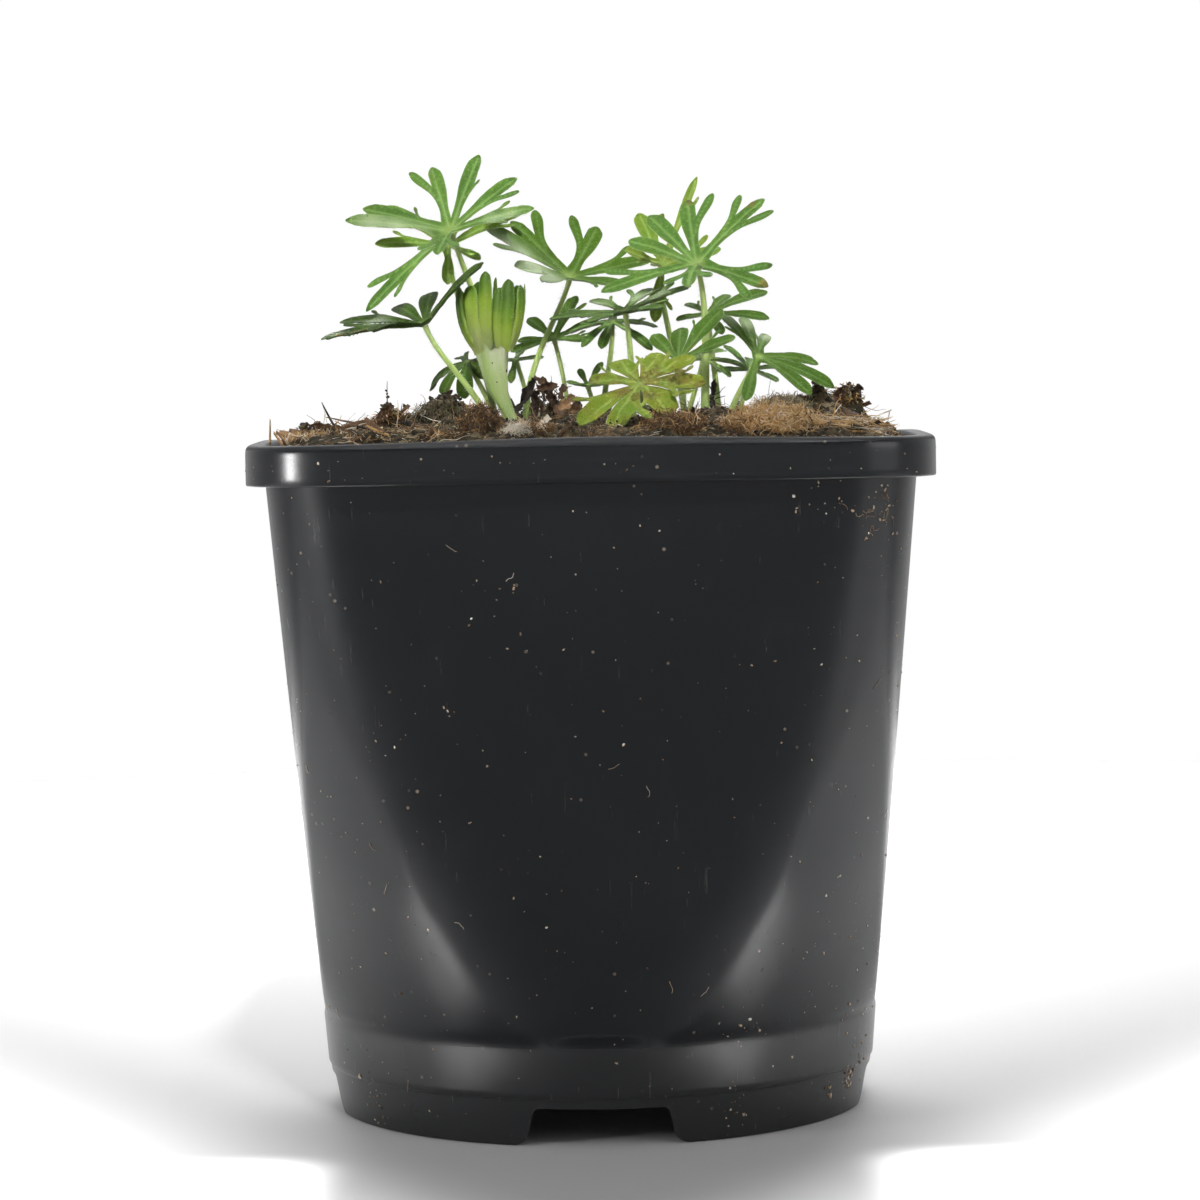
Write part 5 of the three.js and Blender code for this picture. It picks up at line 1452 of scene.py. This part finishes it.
class Blade:
    """One leaf's blade: a fine sheet with its veins, in the blade's own axes."""

    SPACING = 0.62
    SEAM = np.array([0.3, 0.55, 0.8, 1.0])

    def __init__(self, lobes):
        self.lobes = lobes
        self.points = [np.zeros(3)]
        self.marks = [(0.0, 0.0, 2.0)]  # along, vein strength, distance to the edge
        self.faces = []
        self.seams = []
        for k in range(len(lobes) + 1):
            sinus = sinus_point(lobes, k)
            self.seams.append([self.add(sinus * t, (SINUS_REACH * t, 0.1, 1.5 * (1 - t))) for t in self.SEAM])
        for k in range(len(lobes)):
            self.add_lobe(k)
        first, last = self.seams[0], self.seams[-1]
        self.faces.append((0, last[0], first[0]))
        for a, b, c, d in zip(last, last[1:], first, first[1:]):
            self.faces += [(a, b, d), (a, d, c)]

    def add(self, point, mark):
        self.points.append(np.asarray(point, float))
        self.marks.append(mark)
        return len(self.points) - 1

    def corner(self, k, h):
        """A lobe's sinus in its own plane, in shares of its length."""
        lobe, end = self.lobes[k], (k + h) in (0, len(self.lobes))
        reach = np.linalg.norm(self.points[self.seams[k + h][-1]]) / lobe["length"]
        angle = end_room(self.lobes) if end else lobe["room"][h]
        return reach * np.array([math.cos(angle), math.sin(angle)])

    def add_lobe(self, k):
        lobe = self.lobes[k]
        length = lobe["length"]
        corners = [self.corner(k, h) for h in (0, 1)]
        halves = [half_curve(lobe, h, corners[h]) for h in (0, 1)]
        flip = np.array([1, -1])
        seam_a = corners[0] * flip * self.SEAM[:, None]
        seam_b = corners[1] * self.SEAM[:, None]
        outline_a = halves[0][0][1:] * flip
        outline_b = halves[1][0][1:][::-1]
        loop = np.vstack([[(0, 0)], seam_a, outline_a, [(1, 0)], outline_b, seam_b[::-1]]) * length
        own = [None] * (len(outline_a) + 1 + len(outline_b))
        shared = [0, *self.seams[k], *own, *self.seams[k + 1][::-1]]
        inner = self.fill(loop, length)
        flat = np.vstack([loop, inner])
        count = len(loop)
        edges = [(i, (i + 1) % count) for i in range(count)]
        verts, _, faces, origins, *_ = delaunay_2d_cdt([Vector(p) for p in flat], edges, [], 1, 1e-6)
        verts = np.array([tuple(v) for v in verts])
        placed = self.place(lobe, k, verts / length, corners)
        outline = slice(len(self.SEAM), -len(self.SEAM) - 1)
        rim = distance_to_segments(verts, loop, np.roll(loop, -1, 0))[:, outline].min(1)
        strength = self.vein_strength(lobe, verts, [tip for _, tip in halves])
        index = []
        for i, origin in enumerate(origins):
            known = next((shared[o] for o in origin if o < count and shared[o] is not None), None)
            if known is None:
                known = self.add(placed[i], (verts[i, 0] / length, strength[i], rim[i]))
            index.append(known)
        middles = np.array([verts[list(f)].mean(0) for f in faces])
        for face, good in zip(faces, inside_loop(middles, loop)):
            ids = [index[i] for i in face]
            if good and len(set(ids)) == 3:
                self.faces.append(tuple(ids))

    def fill(self, loop, length):
        """Points inside a lobe: a row along its rib, and a hexagonal grid."""
        low, high = loop.min(0), loop.max(0)
        step = self.SPACING
        rows = np.arange(low[1], high[1], step * 0.87)
        columns = np.arange(low[0], high[0], step)
        grid = np.array([(x + (i % 2) * step / 2, y) for i, y in enumerate(rows) for x in columns])
        grid = grid[np.abs(grid[:, 1]) > 0.45 * step]
        rib = np.array([(x, 0.0) for x in np.arange(0.5 * step, length - 0.4 * step, 0.8 * step)])
        grid = np.vstack([grid, rib])
        near = distance_to_segments(grid, loop, np.roll(loop, -1, 0)).min(1)
        return grid[(near > 0.42 * step) & inside_loop(grid, loop)]

    def place(self, lobe, k, spots, corners):
        """From the lobe's plane to its bent shape. Near the hub it is drawn to the seams it shares."""
        along, side = spots[:, 0], np.where(spots[:, 1] < 0, -1.0, 1.0)
        base = lobe_points(lobe, along, np.abs(spots[:, 1]), side)
        reach = np.linalg.norm(spots, axis=1)
        angle = np.abs(np.arctan2(spots[:, 1], spots[:, 0]))
        for h, sign in ((0, -1.0), (1, 1.0)):
            corner = corners[h]
            size = np.linalg.norm(corner)
            t = np.clip(reach / size, 0, 1)
            seam = self.points[self.seams[k + h][-1]] * t[:, None]
            own = lobe_points(lobe, corner[0] * t, corner[1] * t, sign)
            pull = smoothstep(angle / math.atan2(corner[1], corner[0]), 0, 1)
            beyond = np.maximum(0, reach - size) / 0.11
            weight = pull * np.exp(-(beyond**2)) * (side == sign)
            base = base + (seam - own) * weight[:, None]
        return base

    def vein_strength(self, lobe, spots, tips):
        total = np.zeros(len(spots))
        for start, end, strength, width in lobe_veins(lobe, tips):
            away = distance_to_segments(spots, np.array([start], float), np.array([end], float))[:, 0]
            total = np.maximum(total, strength * np.exp(-((away / width) ** 2)))
        return total


def sheet_normals(points, faces):
    """The way the sheet faces at each point."""
    corners = points[faces]
    flat = np.cross(corners[:, 1] - corners[:, 0], corners[:, 2] - corners[:, 0])
    total = np.zeros_like(points)
    for j in range(3):
        np.add.at(total, faces[:, j], flat)
    return unit(total)


def boundary_edges(faces):
    """Edges with a face on one side only, each as that face has it."""
    seen = {edge: True for a, b, c in faces.tolist() for edge in ((a, b), (b, c), (c, a))}
    return [(p, q) for p, q in seen if (q, p) not in seen]


def bezier(a, b, c, d, t):
    t = np.asarray(t, float)[:, None]
    return (1 - t) ** 3 * a + 3 * t * (1 - t) ** 2 * b + 3 * t**2 * (1 - t) * c + t**3 * d


def stalk_path(leaf, normal, t):
    """Points of a leaf's stalk at shares of its way from its foot to the hub."""
    foot = np.array([*leaf["root"], ROOT_Z], float)
    hub = np.array(leaf["hub"], float)
    span = np.linalg.norm(hub - foot)
    leaving = foot + (0, 0, 0.42 * span) + np.array(leaf.get("bend", (0, 0, 0)), float)
    return bezier(foot, leaving, hub - normal * 0.3 * span, hub, t)


def nearness(spots, points):
    """How near each point, from the hub, is to the middles of a leaf's own spots."""
    total = np.zeros(len(points))
    for x, y, z, radius in spots:
        total += np.exp(-(((points - (x, y, z)) / radius) ** 2).sum(1))
    return total


def make_leaf(leaf, seed, materials):
    rng = np.random.default_rng(seed)
    axes, lobes = lobes_of(leaf)
    blade = Blade(lobes)
    points = np.array(blade.points)
    faces = np.array(blade.faces)
    along, vein, rim = np.array(blade.marks).T
    normals = sheet_normals(points, faces)
    wilt = leaf["brown"]
    waves = (0.14 + 0.9 * wilt * leaf.get("crumple", 1)) * fractal(points, 5.0 - 4 * wilt, seed * 0.7)
    waves = waves * np.minimum(1, rim / 1.2)
    points = points + normals * (waves - 0.3 * vein + 0.09)[:, None]
    half = 0.09 + 0.09 * smoothstep(rim, 0, 0.7)
    top = points + normals * half[:, None]
    under = points - normals * (half + 0.2 * vein * np.minimum(1, rim / 0.5))[:, None]
    hub = np.array(leaf["hub"], float)
    shape = Shape("along", "vein", "side", "rim", "tint", "brown")
    count = len(points)
    walls = np.array([(b, a, a + count, b + count) for a, b in boundary_edges(faces)])
    both = np.vstack([top, under]) @ axes + hub
    tint = leaf["tint"]
    # Painted sheen: near the pale middles the upper face takes a share of the underside colour, standing in
    # for the silvery look of hairs at grazing angles. The underside takes the share back.
    pale = np.minimum(0.75, 0.68 * nearness(leaf.get("pale", ()), both - hub))
    pale[count:] = leaf.get("back", 1.0)
    marks = {name: np.tile(values, 2) for name, values in (("along", along), ("vein", vein), ("rim", rim))}
    brown = wilt + 1.3 * nearness(leaf.get("spots", ()), both - hub)
    triangles = np.vstack([faces, faces[:, ::-1] + count])
    faces_of_both = np.vstack([triangles, walls[:, [0, 1, 2]], walls[:, [0, 2, 3]]])
    shape.add(both, faces_of_both, side=pale, tint=tint, brown=brown, **marks)
    add_stalk(shape, leaf, axes[2], rng)
    add_blade_hairs(shape, top @ axes + hub, under @ axes + hub, normals @ axes, faces, rng)
    make_object("fine_leaf_" + leaf["name"], shape, materials,
                "leaf_" + leaf["name"], sharp=75)


def stalk_radius(leaf, t):
    """The stalk is thicker at its foot and where it joins the blade."""
    foot = leaf.get("stalk", STALK_FOOT)
    radius = 0.88 * (foot + (min(foot, STALK_TOP) - foot) * t)
    return radius * (1 + 0.25 * np.exp(-(((t - 0.02) / 0.06) ** 2)) + 0.3 * smoothstep(t, 0.93, 0.985))


def add_stalk(shape, leaf, normal, rng):
    rows, sides = 30, 12
    t = np.linspace(0, 0.995, rows)
    path = stalk_path(leaf, normal, t)
    along = np.append(np.repeat(np.linspace(0, 1, rows), sides), [0, 1])
    shape.add(*tube(path, stalk_radius(leaf, t), sides), 1, along=along, tint=leaf["tint"])
    above = path[:, 2] > 152
    if not above.any():
        return
    first = t[above][0]
    length = np.linalg.norm(np.diff(path[above], axis=0), axis=1).sum()
    count = int(length * 9)
    at = rng.uniform(first, 0.97, count)
    centre = stalk_path(leaf, normal, at)
    ahead = unit(stalk_path(leaf, normal, at + 0.01) - centre)
    around = unit(np.cross(ahead, rng.normal(size=(count, 3))))
    roots = centre + around * (stalk_radius(leaf, at) - 0.03)[:, None]
    ways = around + 0.35 * rng.normal(size=(count, 3)) - 0.25 * ahead
    add_spikes(shape, roots, ways, rng.uniform(0.4, 1.15, count), 0.032, 2)


def add_blade_hairs(shape, top, under, normals, faces, rng):
    """Short hairs on both faces of the blade and along its edge."""
    edge = np.array([a for a, _ in boundary_edges(faces)])
    edge = edge[rng.random(len(edge)) < 0.75]
    middle = top.mean(0)
    for sheet, sign, share, long in ((top, 1, 0.05, 0.36), (under, -1, 0.2, 0.5)):
        picked = np.flatnonzero(rng.random(len(sheet)) < share)
        count = len(picked)
        ways = sign * normals[picked] + 0.8 * unit(sheet[picked] - middle) + 0.3 * rng.normal(size=(count, 3))
        add_spikes(shape, sheet[picked], ways, long * (0.6 + 0.8 * rng.random(count)), 0.022, 2)
    ways = unit(top[edge] - middle) + 0.5 * rng.normal(size=(len(edge), 3))
    add_spikes(shape, (top[edge] + under[edge]) / 2, ways, 0.2 + 0.3 * rng.random(len(edge)), 0.02, 2)


# ---- Young shoot ----
# A finger's width along it: shares of its length, and of its full width there.
FINGER_SHARES = [-0.05, 0.12, 0.35, 0.65, 0.84, 0.93, 0.975, 1]
FINGER_WIDTHS = [0.7, 0.94, 1.1, 1.1, 1.0, 0.86, 0.6, 0.18]


def add_finger(shape, foot, tip, wide, belly, tone, rng):
    """One folded lobe: a pleat that bellies out, with a groove along its back and pale margins."""
    rows, sides = 26, 20
    share = np.linspace(-0.04, 1, rows)
    foot, tip = np.array(foot), np.array(tip)
    swell = np.sin(math.pi * np.maximum(share, 0) ** 0.8)[:, None]
    path = foot + (tip - foot) * share[:, None] + np.array([*belly, 0]) * swell
    width = wide * np.interp(share, FINGER_SHARES, FINGER_WIDTHS)
    ahead = unit(np.gradient(path, axis=0))
    out = unit(np.array([belly[0], belly[1] - 0.05, 0]))
    side = unit(np.cross(ahead, out))
    face = np.cross(side, ahead)
    turn = turns_of(sides)
    groove = np.exp(-(((turn - math.pi / 2) / 0.36) ** 2))
    margin = np.abs(np.cos(turn)) ** 6
    deep = 0.38 * np.sin(turn) - 0.1 * groove
    half = width[:, None, None] / 2
    across = np.cos(turn)[None, :, None] * side[:, None] + deep[None, :, None] * face[:, None]
    rings = path[:, None] + half * across + 0.035 * rng.normal(size=(rows, 1, 3))
    along = np.append(np.repeat(share, sides), [0, 1])
    pale = np.append(np.tile(np.maximum(0.5 * groove, margin), rows), [0, 0])
    shape.add(*closed_tube(rings, path[0], path[-1]), along=along, vein=pale, side=tone)


def make_shoot(materials):
    rng = np.random.default_rng(71)
    shape = Shape("along", "vein", "side")
    for finger in FINGERS:
        add_finger(shape, *finger, rng)
    add_sheath(shape)
    add_shoot_hairs(shape, rng)
    make_object("fine_young_shoot", shape, materials, "young_shoot", sharp=70)


def add_sheath(shape):
    """The pale skin of two stipules round the young stalks. One stalk shows as a green rib in its front."""
    rows, around = 44, 64
    t = np.linspace(0, 1, rows)
    turn = turns_of(around)
    off = np.abs((turn - radians(236) + math.pi) % FULL_TURN - math.pi)
    rib = np.exp(-((off / 0.34) ** 2))
    levels = SHEATH[0, 0] + (SHEATH[-1, 0] - SHEATH[0, 0]) * t
    slopes = [np.interp(levels, SHEATH[:, 0], SHEATH[:, k]) for k in (1, 2, 3, 4)]
    both = []
    for inset in (0.0, 0.3):
        for i, share in enumerate(t):
            mx, my, width, depth = (slope[i] for slope in slopes)
            out = 1 + 0.03 * np.cos(9 * turn) * share + 0.1 * rib * smoothstep(share, 0.2, 0.5)
            x = (0.5 * width - inset) * np.cos(turn) * out
            y = (0.5 * depth - inset) * np.sin(turn) * out
            rag = 0.8 * np.sin(2 * turn + 0.6) + 0.6 * np.sin(5 * turn) + 0.35 * np.sin(13 * turn) - 0.2
            both.append(np.stack([x + mx, y + my, share**8 * rag + levels[i]], 1))
    count = rows * around
    quads = grid_faces(rows, around)
    low = np.arange(around)
    after, top = np.roll(low, -1), count - around
    lip = np.stack([low + top, after + top, after + top + count, low + top + count], 1)
    base = np.stack([after, low, low + count, after + count], 1)
    faces = np.vstack([quads, quads[:, ::-1] + count, lip, base])
    shape.add(np.vstack(both), faces, 1, along=np.tile(np.repeat(t, around), 2), vein=np.tile(rib, 2 * rows))


def add_shoot_hairs(shape, rng):
    """Short white hairs on the folded leaves and the sheath."""
    points = np.vstack(shape.points)
    picked = points[rng.random(len(points)) < 0.1]
    middle = np.array([-22.3, -8, 0])
    ways = unit((picked - middle) * (1, 1, 0)) + 0.45 * rng.normal(size=picked.shape)
    add_spikes(shape, picked, ways, rng.uniform(0.3, 0.8, len(picked)), 0.028, 2)


# ---- Stage, camera and light ----
# Sizes from here on are in metres.
FLOOR_RADIUS, FLOOR_SIDES = 0.8, 96
CAMERA_PLACE, CAMERA_TILT, CAMERA_ROLL = (0.0015, -0.85, 0.1567), 2.92, 0.95


def make_stage():
    mesh = bpy.data.meshes.new("floor")
    mesh.from_pydata(ring(turns_of(FLOOR_SIDES), FLOOR_RADIUS, 0).tolist(), [], [list(range(FLOOR_SIDES))])
    mesh.materials.append(floor_look())
    floor = bpy.data.objects.new("floor", mesh)
    bpy.context.scene.collection.objects.link(floor)


def make_camera():
    data = bpy.data.cameras.new("camera")
    data.lens, data.sensor_width = 112.5, 36.0
    data.clip_start, data.clip_end = 0.05, 20
    camera = bpy.data.objects.new("camera", data)
    tilt = Matrix.Rotation(radians(90 - CAMERA_TILT), 4, "X") @ Matrix.Rotation(radians(-CAMERA_ROLL), 4, "Z")
    camera.matrix_world = Matrix.Translation(CAMERA_PLACE) @ tilt
    bpy.context.scene.collection.objects.link(camera)
    bpy.context.scene.camera = camera


def add_light(name, azimuth, elevation, distance, width, height, power, aim=(0, 0, 0.1), spread=180, spin=0):
    """An area light that faces its aim, seen from there at an azimuth: 0 in front, 90 at the right."""
    data = bpy.data.lights.new(name, "AREA")
    data.shape, data.size, data.size_y = "RECTANGLE", width, height
    data.energy, data.spread = power, radians(spread)
    light = bpy.data.objects.new(name, data)
    a, e = radians(azimuth), radians(elevation)
    back = Vector((math.sin(a) * math.cos(e), -math.cos(a) * math.cos(e), math.sin(e)))
    light.location = Vector(aim) + back * distance
    light.rotation_mode = "QUATERNION"
    light.rotation_quaternion = (-back).to_track_quat("-Z", "Y") @ Quaternion((0, 0, 1), radians(spin))
    light.visible_camera = False
    bpy.context.scene.collection.objects.link(light)


def make_light():
    """A white tent, dim towards the camera, with soft boxes at the sides and light from above and behind."""
    world = bpy.data.worlds.new("studio")
    bpy.context.scene.world = world
    world.use_nodes = True
    tree = world.node_tree
    tree.nodes.clear()
    place = tree.nodes.new("ShaderNodeTexCoord").outputs["Generated"]
    split = tree.nodes.new("ShaderNodeSeparateXYZ")
    tree.links.new(place, split.inputs[0])
    ramps = []
    for axis, numbers in (("Z", (0.02, 0.3, 0.5, 0.16)), ("Y", (-0.8, 0.2, 0, 0.5))):
        ramp = tree.nodes.new("ShaderNodeMapRange")
        ramp.interpolation_type = "SMOOTHSTEP"
        tree.links.new(split.outputs[axis], ramp.inputs[0])
        for index, number in enumerate(numbers):
            ramp.inputs[index + 1].default_value = number
        ramps.append(ramp)
    tree.links.new(ramps[0].outputs[0], ramps[1].inputs[3])
    seen = tree.nodes.new("ShaderNodeLightPath").outputs["Is Camera Ray"]
    strength = tree.nodes.new("ShaderNodeMix")
    tree.links.new(seen, strength.inputs[0])
    tree.links.new(ramps[1].outputs[0], strength.inputs[2])
    strength.inputs[3].default_value = 1.0
    background = tree.nodes.new("ShaderNodeBackground")
    background.inputs["Color"].default_value = (1, 1, 1, 1)
    tree.links.new(strength.outputs[0], background.inputs["Strength"])
    out = tree.nodes.new("ShaderNodeOutputWorld")
    tree.links.new(background.outputs[0], out.inputs[0])
    add_light("strip_left", -57, 0, 0.5, 0.075, 0.1, 0.14, aim=(0, 0, 0.16), spread=60)
    add_light("soft_box_right", 52, 14, 0.62, 0.3, 0.2, 0.4)
    add_light("soft_box_back", 180, 62, 0.75, 0.9, 0.5, 7.5, aim=(0, 0.62, 0), spread=84)
    add_light("front_fill", 8, 46, 1.2, 0.18, 0.18, 0.2, aim=(0, 0.02, 0.19), spread=13)
    for side, x in (("left", -1), ("right", 1)):
        table, corner = (0.475 * x, -0.155, 0), (0.092 * x, -0.12, 0)
        add_light("table_" + side, 0, 90, 0.2, 0.75, 0.5, 1.7, aim=table, spread=25, spin=-33 * x)
        add_light("corner_glow_" + side, 0, 90, 0.06, 0.055, 0.09, 0.085, aim=corner, spread=30)
    bpy.context.scene.view_settings.view_transform = "Standard"


# ---- Assembly ----
make_camera()
make_light()
make_stage()
make_pot(pot_look())
make_dust(dust_look())
make_soil(soil_look())
make_crumbs(crumb_look())
bark, fibre = bark_look(), fibre_look()
make_bark(bark)
make_fibres(fibre)
make_fuzz(fibre)
make_litter([fibre, bark])
make_moss(moss_look())
blade_material, stalk_material, hair_material = leaf_look(), stalk_look(), hair_look()
for number, leaf in enumerate(LEAVES):
    make_leaf(leaf, 100 + number, [blade_material, stalk_material, hair_material])
make_shoot([bud_look(), sheath_look(), hair_material])
